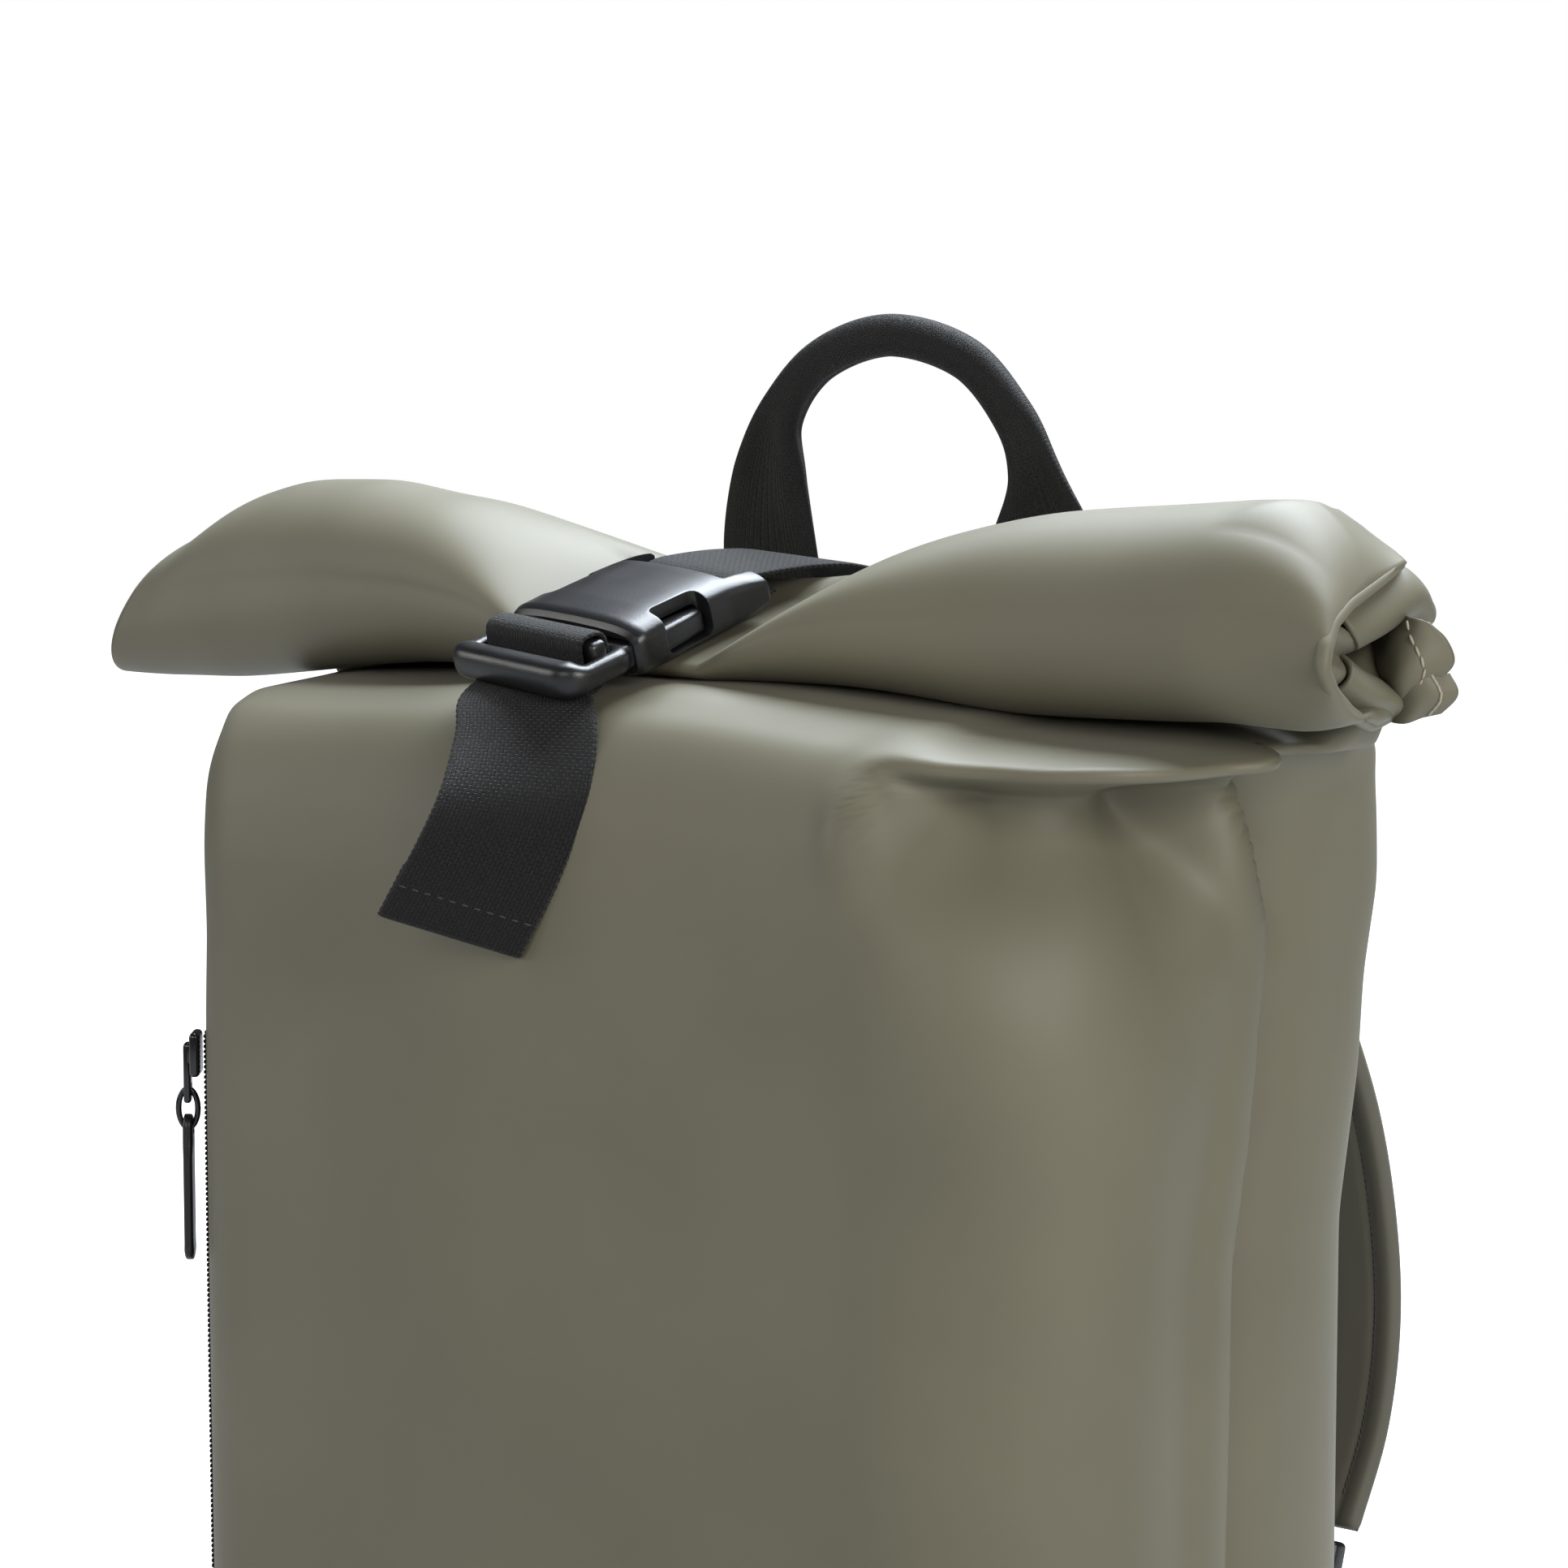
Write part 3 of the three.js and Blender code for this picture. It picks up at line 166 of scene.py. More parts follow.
def coated_cloth(name, colour, roughness=0.54, grain=0.1):
    """Matte coated cloth: a fine grain, and a tone that drifts a little over the surface."""
    material, tree, shader = new_finish(name)
    tone = tree.nodes.new("ShaderNodeValToRGB")
    for stop, position, share in zip(tone.color_ramp.elements, (0.3, 0.72), (0.93, 1.06)):
        stop.position = position
        stop.color = shade_of(colour, share)
    tree.links.new(noise(tree, 14, 3), tone.inputs["Fac"])
    tree.links.new(tone.outputs["Color"], shader.inputs["Base Color"])
    fine = noise(tree, GRAIN, 4, 0.65)
    link_range(tree, fine, roughness - 0.05, roughness + 0.06, shader.inputs["Roughness"])
    raised(tree, shader, fine, grain, 0.0002)
    set_inputs(shader, Specular_IOR_Level=0.42, Sheen_Weight=0.05, Sheen_Roughness=0.5)
    return material


def choose(piece):
    """Makes a piece the active one, and the only one selected."""
    bpy.ops.object.select_all(action="DESELECT")
    bpy.context.view_layer.objects.active = piece
    piece.select_set(True)


def edit_all(piece, operator, **settings):
    """Runs a mesh operator on every point of a piece."""
    choose(piece)
    bpy.ops.object.mode_set(mode="EDIT")
    bpy.ops.mesh.select_all(action="SELECT")
    operator(**settings)
    bpy.ops.object.mode_set(mode="OBJECT")


def face_outwards(piece):
    edit_all(piece, bpy.ops.mesh.normals_make_consistent, inside=False)


def sheet(name, rows, columns, place, closed=False):
    """A grid primitive whose points are put where place(row share, column share) says, in
    millimetres, as arrays. Its UV map holds the shares. A closed sheet is a tube."""
    bpy.ops.object.select_all(action="DESELECT")
    bpy.ops.mesh.primitive_grid_add(x_subdivisions=columns, y_subdivisions=rows, size=1)
    made = bpy.context.object
    made.name = name
    flat = np.zeros(len(made.data.vertices) * 3)
    made.data.vertices.foreach_get("co", flat)
    flat = flat.reshape(-1, 3)
    points = place(flat[:, 1] + 0.5, flat[:, 0] + 0.5) * MM
    made.data.vertices.foreach_set("co", points.astype(np.float32).ravel())
    if closed:
        edit_all(made, bpy.ops.mesh.remove_doubles, threshold=0.00002)
    made.data.update()
    return made


def apply_modifier(piece, kind, **settings):
    choose(piece)
    modifier = piece.modifiers.new(kind.lower(), kind)
    for key, value in settings.items():
        setattr(modifier, key, value)
    bpy.ops.object.modifier_apply(modifier=modifier.name)


def finish_piece(piece, material, slot, *replaced):
    """Smooth shading, its material, and its place in the frame."""
    for polygon in piece.data.polygons:
        polygon.use_smooth = True
    piece.data.materials.clear()
    piece.data.materials.append(material)
    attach(piece, "root")
    if replaced:
        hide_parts(*replaced)


olive = coated_cloth("olive_coated_cloth", (0.138, 0.129, 0.087))

BODY_WIDTH, BODY_FRONT, BODY_BACK, BODY_HEIGHT = 314, 90, 82, 385
LEFT_CORNER, RIGHT_CORNER, BACK_CORNER = 36, 58, 52
MOUTH_WIDTH, MOUTH_SHIFT, NECK_Y, NECK_DEPTH, NECK_TOP = 438, -18, 31, 8, 400
CROWN_HEIGHT, CROWN_REACH, SIDE_DROOP, GUSSET_PINCH, FRONT_BOW = 9, 85, 6, 14, 5
BASE_TOP = 3.3

# height, width, front, back, front corner, back corner, pinch, crown, flare to the mouth, gather to
# the neck
SACK_OUTLINE = np.array([
    (0, 0.465, 0.86, 0.9, 0.6, 0.5, 0, 0, 0, 0),
    (0.03, 0.487, 0.92, 0.96, 0.75, 0.6, 0.1, 0, 0, 0),
    (0.1, 0.496, 0.96, 1, 0.9, 0.8, 0.45, 0, 0, 0),
    (0.28, 0.5, 0.99, 1, 0.97, 1, 0.7, 0, 0, 0),
    (0.49, 0.5, 1, 1, 1, 1, 0.7, 0, 0, 0),
    (0.65, 0.5, 1, 1, 1, 1, 0.5, 0, 0, 0),
    (0.755, 0.5, 1, 1, 1, 0.77, 0.2, 0, 0, 0),
    (0.82, 0.497, 1, 0.99, 1, 0.65, 0.1, 0, 0, 0),
    (0.885, 0.5, 0.98, 0.96, 0.92, 0.46, 0.4, 0, 0, 0),
    (0.93, 0.5, 0.94, 0.93, 0.84, 0.43, 0.8, 0.1, 0.01, 0),
    (0.962, 0.5, 0.87, 0.88, 0.7, 0.39, 1, 0.35, 0.03, 0),
    (0.982, 0.5, 0.78, 0.81, 0.55, 0.32, 1, 0.7, 0.08, 0),
    (0.994, 0.5, 0.63, 0.72, 0.42, 0.24, 0.75, 0.95, 0.12, 0.03),
    (1, 0.5, 0.4, 0.62, 0.27, 0.16, 0.4, 1, 0.2, 0.3),
    (1.004, 0.5, 0.25, 0.55, 0.16, 0.12, 0.1, 1, 0.38, 0.7),
])


def mix(first, second, share):
    return first + (second - first) * share


def blurred(column, half, reach):
    """Numbers that are each the mean of those around them, half of the window to each side."""
    kernel = bell(np.arange(-half, half + 1), reach)
    return np.convolve(np.pad(column, half, "edge"), kernel / kernel.sum(), "valid")


def sack_sizes(row_share):
    """The outline's sizes at shares of the way up, in millimetres."""
    t = SACK_OUTLINE.T
    gather, flare = t[9], t[8]
    front = mix(-BODY_FRONT * t[2], NECK_Y - NECK_DEPTH / 2, gather)
    back = mix(BODY_BACK * t[3], NECK_Y + NECK_DEPTH / 2, gather)
    fullest = (back - front) / 2 - 0.3
    columns = [
        mix(BASE_TOP, BODY_HEIGHT, t[0]),
        mix(BODY_WIDTH * t[1], MOUTH_WIDTH / 2, flare),
        front,
        back,
        np.minimum(LEFT_CORNER * t[4], fullest),
        np.minimum(RIGHT_CORNER * t[4], fullest),
        np.minimum(BACK_CORNER * t[5], fullest),
        GUSSET_PINCH * t[6],
        FRONT_BOW * (1 - gather) * t[2],
        CROWN_HEIGHT * t[7],
        SIDE_DROOP * t[7],
        MOUTH_SHIFT * flare,
    ]
    half_neck = NECK_DEPTH / 2
    neck_end = [
        NECK_TOP, MOUTH_WIDTH / 2 - 20, NECK_Y - half_neck, NECK_Y + half_neck,
        *[half_neck - 0.3] * 3, 0, 0, 0, 0, MOUTH_SHIFT,
    ]
    table = np.column_stack([np.append(column, last) for column, last in zip(columns, neck_end)])
    # rows are spaced by the length of the cloth from section to section
    steps = np.hypot(np.diff(table[:, 0]), np.diff(table[:, 2]))
    length = np.concatenate([[0], np.cumsum(steps)]) / steps.sum()
    fine = np.linspace(0, 1, 400)
    drawn = np.column_stack([np.interp(fine, length, column) for column in table.T])
    eased = np.column_stack([blurred(column, 7, 4.2) for column in drawn.T])
    eased[0], eased[-1] = drawn[0], drawn[-1]
    return [np.interp(row_share, fine, column) for column in eased.T]


# share of the ring, and the segment that ends there: front, right corner, right side, back right
# corner, back, back left corner, left side, left corner
RING_SHARES = [0, 0.23, 0.35, 0.54, 0.59, 0.77, 0.82, 0.94, 1]


def sack_ring(size, ring_share):
    z, half, front, back, left_corner, right_corner, back_corner, pinch, bow, crown, droop, shift = size
    x = np.zeros_like(z)
    y = np.zeros_like(z)

    def fill(index, make):
        low, high = RING_SHARES[index], RING_SHARES[index + 1]
        inside = (ring_share >= low) & (ring_share <= high)
        new_x, new_y = make((ring_share - low) / (high - low))
        x[inside], y[inside] = new_x[inside], new_y[inside]

    def arc(middle_x, middle_y, radius, start):
        return lambda t: (
            middle_x + radius * np.cos(np.radians(start + 90 * t)),
            middle_y + radius * np.sin(np.radians(start + 90 * t)),
        )

    def folded(t):
        return half - pinch * (0.5 + 0.5 * np.cos(np.pi * (2 * t - 1))) ** 1.3

    def bowed(t):
        return mix(left_corner - half, half - right_corner, t), front - bow * (1 - (2 * t - 1) ** 2)

    fill(0, bowed)
    fill(1, arc(half - right_corner, front + right_corner, right_corner, -90))
    fill(2, lambda t: (half + 0 * t, mix(front + right_corner, back - back_corner, t)))
    fill(3, arc(half - back_corner, back - back_corner, back_corner, 0))
    fill(4, lambda t: (mix(half - back_corner, back_corner - half, t), back + 0 * t))
    fill(5, arc(back_corner - half, back - back_corner, back_corner, 90))
    fill(6, lambda t: (-folded(t), mix(back - back_corner, front + left_corner, t)))
    fill(7, arc(left_corner - half, front + left_corner, left_corner, 180))
    rise = crown * bell(x, CROWN_REACH)
    fall = droop * smooth(np.abs(x), BODY_WIDTH * 0.45, MOUTH_WIDTH * 0.45)
    return np.column_stack([x + shift, y, z + rise - fall])


# height of the fold, its place along the right side, and its depth
GUSSET_FOLD = np.array([
    (0, 6, 2), (60, 0, 8), (150, -5, 9), (249, -3, 9), (279, 4, 8), (307, 9, 5.5), (322, 12, 3),
    (336, 12, 6), (356, 3, 13), (372, -6, 15), (382, -8, 8), (392, -4, 1), (405, 0, 0),
])


def push_right_side(points):
    """The right gusset's crease: its front edge stands over a slope that rises towards the back."""
    x, y, z = points.T
    middle = np.interp(z, GUSSET_FOLD[:, 0], GUSSET_FOLD[:, 1])
    depth = np.interp(z, GUSSET_FOLD[:, 0], GUSSET_FOLD[:, 2])
    behind = y - middle
    valley = np.where(behind > 0, bell(behind, 15), bell(behind, 2.6))
    soft = 0.35 * bell(behind + 12, 20)
    on_side = smooth(x, 118, 140) * (1 - smooth(z, 392, 400))
    points[:, 0] -= on_side * depth * (valley + soft * (behind < 0))
    # the front edge of the fold is a soft rolled lip that leans over the valley
    points[:, 0] += on_side * depth * 0.3 * bell(behind + 8, 6)
    points[:, 1] += on_side * depth * 0.62 * bell(behind + 2, 4)
    return points


# the middle of the front right corner's arc from above, and the hollow and the fold that run round it
ARC_X, ARC_Y = 95, -25
HOLLOW_Z, HOLLOW_DEPTH, HOLLOW_BELOW, HOLLOW_ABOVE = 372, 24, 24, 7
FOLD_Z, FOLD_OUT, FOLD_SAG, FOLD_REACH = 383, 14, 3, 5


def push_front_right(points):
    """The hollow under the roll at the front right corner and the hanging fold above it."""
    x, y, z = points.T
    turn = np.arctan2(y - ARC_Y, x - ARC_X)
    round_the_arc = RIGHT_CORNER * np.clip(turn + np.pi / 2, 0, np.pi / 2) + np.clip(y - ARC_Y, 0, 60)
    around = np.where(x < ARC_X, x - ARC_X, round_the_arc)
    facing = np.clip(turn, -np.pi / 2, 0)
    outward = np.column_stack([np.cos(facing), np.sin(facing)])
    outward = np.where((x < ARC_X)[:, None], np.array([[0.0, -1.0]]), outward)
    near = (y < 45) & (x > 20)
    reach = smooth(around, 0, 38) * (1 - smooth(around, 92, 118))
    above = z - HOLLOW_Z
    hollow = -HOLLOW_DEPTH * reach * bell(above, np.where(above < 0, HOLLOW_BELOW, HOLLOW_ABOVE)) * near
    hollow += -6 * smooth(around, 8, 50) * (1 - smooth(around, 80, 110)) * bell(z - 345, 26) * near
    fold = smooth(around, -10, 22) * (1 - smooth(around, 100, 125)) * bell(z - FOLD_Z, FOLD_REACH)
    rim = 5.5 * bell(around + 1 + above * 0.12, 8) * bell(above + 3, 18) * near
    points[:, :2] += (hollow + FOLD_OUT * fold * near + rim)[:, None] * outward
    sag = smooth(around, 0, 30) * (1 - smooth(around, 95, 118)) * bell(z - FOLD_Z - 1, FOLD_REACH)
    points[:, 2] -= FOLD_SAG * sag * near
    return points


# middle of a soft dent, its reach along each axis, its depth, and the way it goes in
SACK_DENTS = [
    # the cloth of the left shoulder is drawn in a little below the roll
    ((-160, -60, 378), (26, 40, 12), 4, (0.6, 0.8, 0)),
    # slack waves over the front: two broad upright ones and one that runs down from the fold
    ((40, -95, 330), (34, 40, 60), 3.5, (0, 1, 0)),
    ((-85, -92, 330), (30, 40, 70), 2.4, (0, 1, 0)),
    ((110, -90, 262), (34, 60, 46), 3.5, (-0.3, 1, 0)),
    ((5, -95, 240), (50, 40, 50), 2.2, (0, 1, 0)),
    ((-70, -95, 255), (40, 40, 40), -1.5, (0, 1, 0)),
    ((130, -80, 318), (30, 50, 24), -3, (-0.5, 1, 0)),
    # the sides and the lower half
    ((-160, 10, 330), (40, 40, 46), 4, (1, 0, 0)),
    ((-157, 20, 180), (40, 34, 90), 3, (1, 0, 0)),
    ((60, -92, 120), (60, 40, 40), 2.5, (0, 1, 0)),
    ((-60, -92, 90), (50, 40, 36), 2, (0, 1, 0)),
]


def sack_place(row_share, ring_share):
    points = sack_ring(sack_sizes(row_share), ring_share)
    points = push_right_side(points)
    points = push_front_right(points)
    for middle, reach, depth, towards in SACK_DENTS:
        away = (points - np.array(middle)) / np.array(reach)
        points += np.exp(-(away ** 2).sum(1))[:, None] * depth * np.array(towards, float)
    return points


sack = sheet("sack", 190, 250, sack_place, closed=True)
face_outwards(sack)
apply_modifier(sack, "SOLIDIFY", thickness=CLOTH * MM, offset=-1)
finish_piece(sack, olive, "coated_cloth", "bag_body")


# Rolled top: the mouth of the sack, two layers of the same cloth pressed flat and rolled forward one
# and a half turns. The closure strap draws it down in the middle, so both halves swell to the ends.
ROLL_DEPTH, ROLL_HEIGHT, ROLL_CENTRE_Y, ROLL_CENTRE_Z = 68, 60, 3, 417
ROLL_TURN_CLEARANCE, ROLL_BELLY, ROLL_WALL = 1, 0.2, 4
ROLL_START_ANGLE, ROLL_TURNS, ROLL_END = -8, 1.45, 0.965
ROLL_CLOTH = 1.5

# along, depth, height, forward, lower, lean, skew
ROLL_OUTLINE = np.array([
    (-1, 0.84, 0.78, 0, 0.2, 0.3, 0.05),
    (-0.93, 0.94, 0.92, 0, 0.13, 0.22, 0),
    (-0.8, 1, 1, 0, 0.07, 0.12, 0),
    (-0.62, 1.02, 0.96, 0, 0.02, 0, 0),
    (-0.42, 1.1, 0.8, 0.04, 0.03, 0, 0),
    (-0.17, 1.19, 0.54, 0.09, 0.13, 0, 0),
    (-0.08, 1.2, 0.47, 0.1, 0.16, 0, 0),
    (0.03, 1.2, 0.44, 0.1, 0.17, 0, 0),
    (0.14, 1.2, 0.48, 0.1, 0.15, 0, 0),
    (0.31, 1.16, 0.66, 0.07, 0.08, 0, 0),
    (0.52, 1.08, 0.84, 0.02, 0.04, 0, 0),
    (0.75, 1.02, 0.93, 0, 0, 0, 0),
    (0.89, 0.98, 0.95, 0, -0.03, -0.05, -0.06),
    (ROLL_END, 0.92, 0.93, 0, -0.02, -0.12, -0.14),
])
HALF_BUCKLE = 27
BUCKLE_PLACE = Vector((-26, -81, 396))
buckle_turn = (
    Matrix.Rotation(math.radians(-8), 3, "Z")
    @ Matrix.Rotation(math.radians(18), 3, "X")
    @ Matrix.Rotation(math.radians(5), 3, "Y")
)
buckle_up = buckle_turn @ Vector((0, 0, 1))
buckle_side = buckle_turn @ Vector((1, 0, 0))
UNDER_BUCKLE = 8.1


def press_limit(x, y):
    """The highest that the roll may reach under and around the buckle."""
    local_x, local_y = x - BUCKLE_PLACE.x, y - BUCKLE_PLACE.y
    below = buckle_up.x * local_x + buckle_up.y * local_y + UNDER_BUCKLE
    plane = BUCKLE_PLACE.z - below / buckle_up.z
    beside = np.maximum(0, np.abs(local_x * buckle_side.x + local_y * buckle_side.y) - HALF_BUCKLE - 4)
    behind = np.maximum(0, y - 4)
    return plane + beside * 0.62 + behind * 0.75


# the rim of the outer turn at the right end: angle round the roll, x, y, z
RIGHT_RIM = np.array([
    (-8, 166, 34, 418), (16, 176, 32, 424), (37, 192, 21, 430), (80, 194, 3, 425), (120, 196, -12, 421),
    (150, 198, -22, 417), (180, 200, -28, 411), (200, 200, -29, 406), (218, 199, -23, 400),
    (242, 195, -9, 394), (282, 190, 9, 389), (316, 186, 30, 391), (345, 170, 34, 402), (380, 160, 28, 420),
])


def eased_columns(table, at, reach=5.5):
    """The columns of a table over its first one, eased between its rows."""
    fine = np.linspace(table[0, 0], table[-1, 0], 300)
    drawn = [np.interp(fine, table[:, 0], column) for column in table.T[1:]]
    return [np.interp(at, fine, blurred(column, 9, reach)) for column in drawn]


def roll_place(inset, last):
    """Where a layer of the roll lies, inset from the outer one, up to its last place along the roll."""
    def place(turn_share, length_share):
        along = mix(-1, last, length_share)
        depth, height, forward, lower, lean, skew = eased_columns(ROLL_OUTLINE, along)
        degrees = ROLL_START_ANGLE + 360 * ROLL_TURNS * turn_share
        angle = np.radians(degrees)
        half_depth, half_height = ROLL_DEPTH * depth / 2, ROLL_HEIGHT * height / 2
        middle_z = ROLL_CENTRE_Z - ROLL_HEIGHT * lower
        middle_y = ROLL_CENTRE_Y - ROLL_DEPTH * forward
        up, out = np.sin(angle), np.cos(angle)
        inward = (ROLL_WALL + ROLL_TURN_CLEARANCE) * smooth(degrees, 190, 320) + inset
        sag = height * ROLL_HEIGHT * ROLL_BELLY * np.maximum(0, -up) * np.maximum(0, -out)
        # folds gather towards the ends, and a few slack waves run along the roll
        right_end = smooth(along, 0.8, 0.9) * (1 - smooth(along, 0.9, ROLL_END))
        left_end = 1 - smooth(along, -1, -0.86)
        ripple = 1.8 * right_end * np.sin(3 * angle + 1.0)
        ripple += 1.6 * left_end * np.sin(2 * angle + 0.6)
        ripple += 1.1 * np.sin(along * 8.5 + 2.2 * angle) * bell(np.abs(along) - 0.5, 0.3)
        x = MOUTH_SHIFT + along * MOUTH_WIDTH / 2 + (lean * up + skew * out) * ROLL_HEIGHT
        y = middle_y + out * (half_depth - inward * 1.5 + ripple) - sag
        z = middle_z + up * (half_height - inward + ripple) - sag
        bottom = middle_z - half_height
        outward = np.minimum(1, np.abs(y - middle_y) / half_depth)
        top = middle_z + half_height * np.sqrt(1 - outward ** 2) + 0.3
        room = (press_limit(x, y) - bottom) / (top - bottom)
        keep = room - 0.12 * np.logaddexp(0, (room - 1) / 0.12)
        points = np.column_stack([x, y, bottom + (z - bottom) * keep])
        rim = np.column_stack(eased_columns(RIGHT_RIM, degrees, 4))
        start = np.interp(degrees, [60, 90, 130, 190, 240], [0.915, 0.9, 0.8, 0.83, 0.9])
        power = np.interp(degrees, [60, 110], [0.75, 1.9])
        to_rim = np.clip((along - start) / (ROLL_END - start), 0, 1) ** power
        to_rim *= 1 - smooth(degrees, 330, 375)
        points += (rim - points) * to_rim[:, None]
        points[:, 0] -= 34 * smooth(along, 0.8, ROLL_END) * smooth(degrees, 330, 385)
        return points

    return place


roll = sheet("roll", 170, 250, roll_place(0.9, ROLL_END))
apply_modifier(roll, "SOLIDIFY", thickness=ROLL_CLOTH * MM, offset=0)
finish_piece(roll, olive, "coated_cloth", "rolled_top")

roll_lining = sheet("roll_second_layer", 120, 150, roll_place(3.4, 0.86))
apply_modifier(roll_lining, "SOLIDIFY", thickness=1.3 * MM, offset=0)
finish_piece(roll_lining, olive, "coated_cloth")


# Webbing: 40 mm black woven tape, ribbed along its length, with small loops along both edges. The
# closure strap is sewn to the back, comes over the roll and turns round the buckle's rear bar. The
# front strap is sewn to the front, goes over the buckle's middle bar and hangs as a folded tail.
WEB_WIDTH, WEB_THICKNESS, WEB_LOOPS = 40, 1.5, 0.35
RIB, DASH = 0.00105, 0.0021


def woven(name, colour, rib=RIB, dash=DASH, depth=0.00045):
    """Woven tape: rows of small dashes along the piece, read from a UV map in metres."""
    material, tree, shader = new_finish(name)
    add, link = tree.nodes.new, tree.links.new
    uv = add("ShaderNodeUVMap")
    parts = add("ShaderNodeSeparateXYZ")
    swapped = add("ShaderNodeCombineXYZ")
    link(uv.outputs["UV"], parts.inputs["Vector"])
    link(parts.outputs["Y"], swapped.inputs["X"])
    link(parts.outputs["X"], swapped.inputs["Y"])
    weave = add("ShaderNodeTexBrick")
    set_inputs(weave, Scale=1, Brick_Width=dash, Row_Height=rib)
    set_inputs(weave, Color1=shade_of(colour, 1.35), Color2=shade_of(colour, 0.85))
    set_inputs(weave, Mortar_Size=rib * 0.2, Mortar_Smooth=1, Mortar=shade_of(colour, 0.3))
    link(swapped.outputs["Vector"], weave.inputs["Vector"])
    link(weave.outputs["Color"], shader.inputs["Base Color"])
    yarn = add("ShaderNodeMath")
    yarn.operation = "SUBTRACT"
    link(noise(tree, 2600, 3), yarn.inputs[0])
    link(weave.outputs["Fac"], yarn.inputs[1])
    raised(tree, shader, yarn.outputs["Value"], 0.9, depth)
    set_inputs(shader, Roughness=0.62, Specular_IOR_Level=0.28, Sheen_Weight=0.1, Sheen_Roughness=0.4)
    return material


black_webbing = woven("black_webbing", (0.0052, 0.0052, 0.0056))


def along_curve(stations, count):
    """The stations' numbers, spaced evenly along a smooth curve through their points, and its length.
    A station is a point and what goes with it, such as a side vector."""
    stations = np.array(stations, float)
    ends = np.vstack([2 * stations[0] - stations[1], stations, 2 * stations[-1] - stations[-2]])
    dense = []
    for a, b, c, d in zip(ends[:-3], ends[1:-2], ends[2:-1], ends[3:]):
        squared, cubed = 2 * a - 5 * b + 4 * c - d, 3 * b - a - 3 * c + d
        for t in np.linspace(0, 1, 24, endpoint=False):
            dense.append(0.5 * (2 * b + (c - a) * t + squared * t ** 2 + cubed * t ** 3))
    dense = np.array(dense + [stations[-1]])
    length = np.concatenate([[0], np.cumsum(np.linalg.norm(np.diff(dense[:, :3], axis=0), axis=1))])
    wanted = np.linspace(0, length[-1], count)
    return np.column_stack([np.interp(wanted, length, column) for column in dense.T]), length[-1]


def unit(vectors):
    return vectors / np.maximum(np.linalg.norm(vectors, axis=-1, keepdims=True), 1e-9)


def scale_uv(piece, across, along):
    layer = piece.data.uv_layers.active.data
    flat = np.zeros(len(layer) * 2)
    layer.foreach_get("uv", flat)
    flat = flat.reshape(-1, 2) * (across * MM, along * MM)
    layer.foreach_set("uv", flat.ravel())


def tape(name, stations, width=WEB_WIDTH, step=0.75):
    """Webbing along stations of point and side vector. Its edges are waved by the weave's loops."""
    length = along_curve(stations, 3)[1]
    rows = int(length / step)
    path = along_curve(stations, rows + 1)[0]
    sides = unit(path[:, 3:])

    def place(length_share, across_share):
        row = np.rint(length_share * rows).astype(int)
        across = across_share * 2 - 1
        edge = np.abs(across) > 0.98
        wave = WEB_LOOPS * np.sin(row * 2.4 + (across > 0) * 1.3) * edge
        out = across * (width / 2 + wave)
        return path[row, :3] + sides[row] * out[:, None]

    made = sheet(name, rows, 14, place)
    scale_uv(made, width, length)
    apply_modifier(made, "SOLIDIFY", thickness=WEB_THICKNESS * MM, offset=0)
    apply_modifier(made, "SUBSURF", levels=1, render_levels=1)
    return made


def in_buckle(*places):
    """Stations of webbing inside the buckle, from places along it and over its middle."""
    return [[*(BUCKLE_PLACE + buckle_turn @ Vector((0, y, z))), *buckle_side] for y, z in places]


def turned(share):
    """A side vector between straight across the bag and straight across the buckle."""
    return list(Vector((1, 0, 0)).lerp(buckle_side, share).normalized())


closure_runs = [
    [0, 78.7, 351, *turned(0)],
    [0, 78.2, 363, *turned(0)],
    [0, 75.6, 377, *turned(0.1)],
    [-3, 62, 402, *turned(0.3)],
    [-7, 47, 416.8, *turned(0.5)],
    [-10, 28, 423.2, *turned(0.7)],
    [-13, 10, 424.2, *turned(0.9)],
    *in_buckle((76.7, 3.2), (69.7, 3.2), (68.4, 1.9), (68.3, -1.9), (69.7, -3.2), (82.7, -3.3)),
]
closure = tape("closure_webbing", closure_runs)
finish_piece(closure, black_webbing, "webbing", "closure_strap")

# the tail hangs from the slot behind the front bar, clear of the sewn layer, and turns outwards
tail_runs = [
    [-19, -81, 389.5, 0.94, 0.33, 0],
    [-12.5, -88, 381, 0.9, 0.43, 0],
    [-7.5, -98, 366, 0.82, 0.57, -0.08],
    [-11, -104.5, 349, 0.77, 0.6, -0.2],
    [-20, -108.5, 331, 0.74, 0.6, -0.29],
]
front_runs = [
    [-22, -91.2, 356, *turned(0)],
    [-22, -89.6, 362, *turned(0)],
    [-22.5, -86.6, 369, *turned(0.2)],
    [-24, -82.6, 376, *turned(0.5)],
    *in_buckle(
        (8, -7.6), (13.4, -6.6), (18, -4.7), (20.1, -1.5), (20.2, 3.4), (19.8, 6.6), (18.0, 8.3),
        (13.4, 8.6), (11.4, 6.9), (11, 3.5), (10.6, -2.5), (10.2, -5.2),
    ),
    *tail_runs,
]
tail_end = Vector(tail_runs[-1][:3])
tail_side = Vector(tail_runs[-1][3:])
tail_down = (tail_end - Vector(tail_runs[-2][:3])).normalized()
tail_inner = tail_side.cross(tail_down).normalized()
if tail_inner.y < 0:
    tail_inner.negate()
TAIL_FOLD = 13
for down, inner in ((1.9, 0.7), (2.5, 1.9), (1.6, 3), (-2, 3), (-7, 2.5), (-TAIL_FOLD, 2.1)):
    front_runs.append([*(tail_end + tail_down * down + tail_inner * inner), *tail_side])
front_web = tape("front_webbing", front_runs)
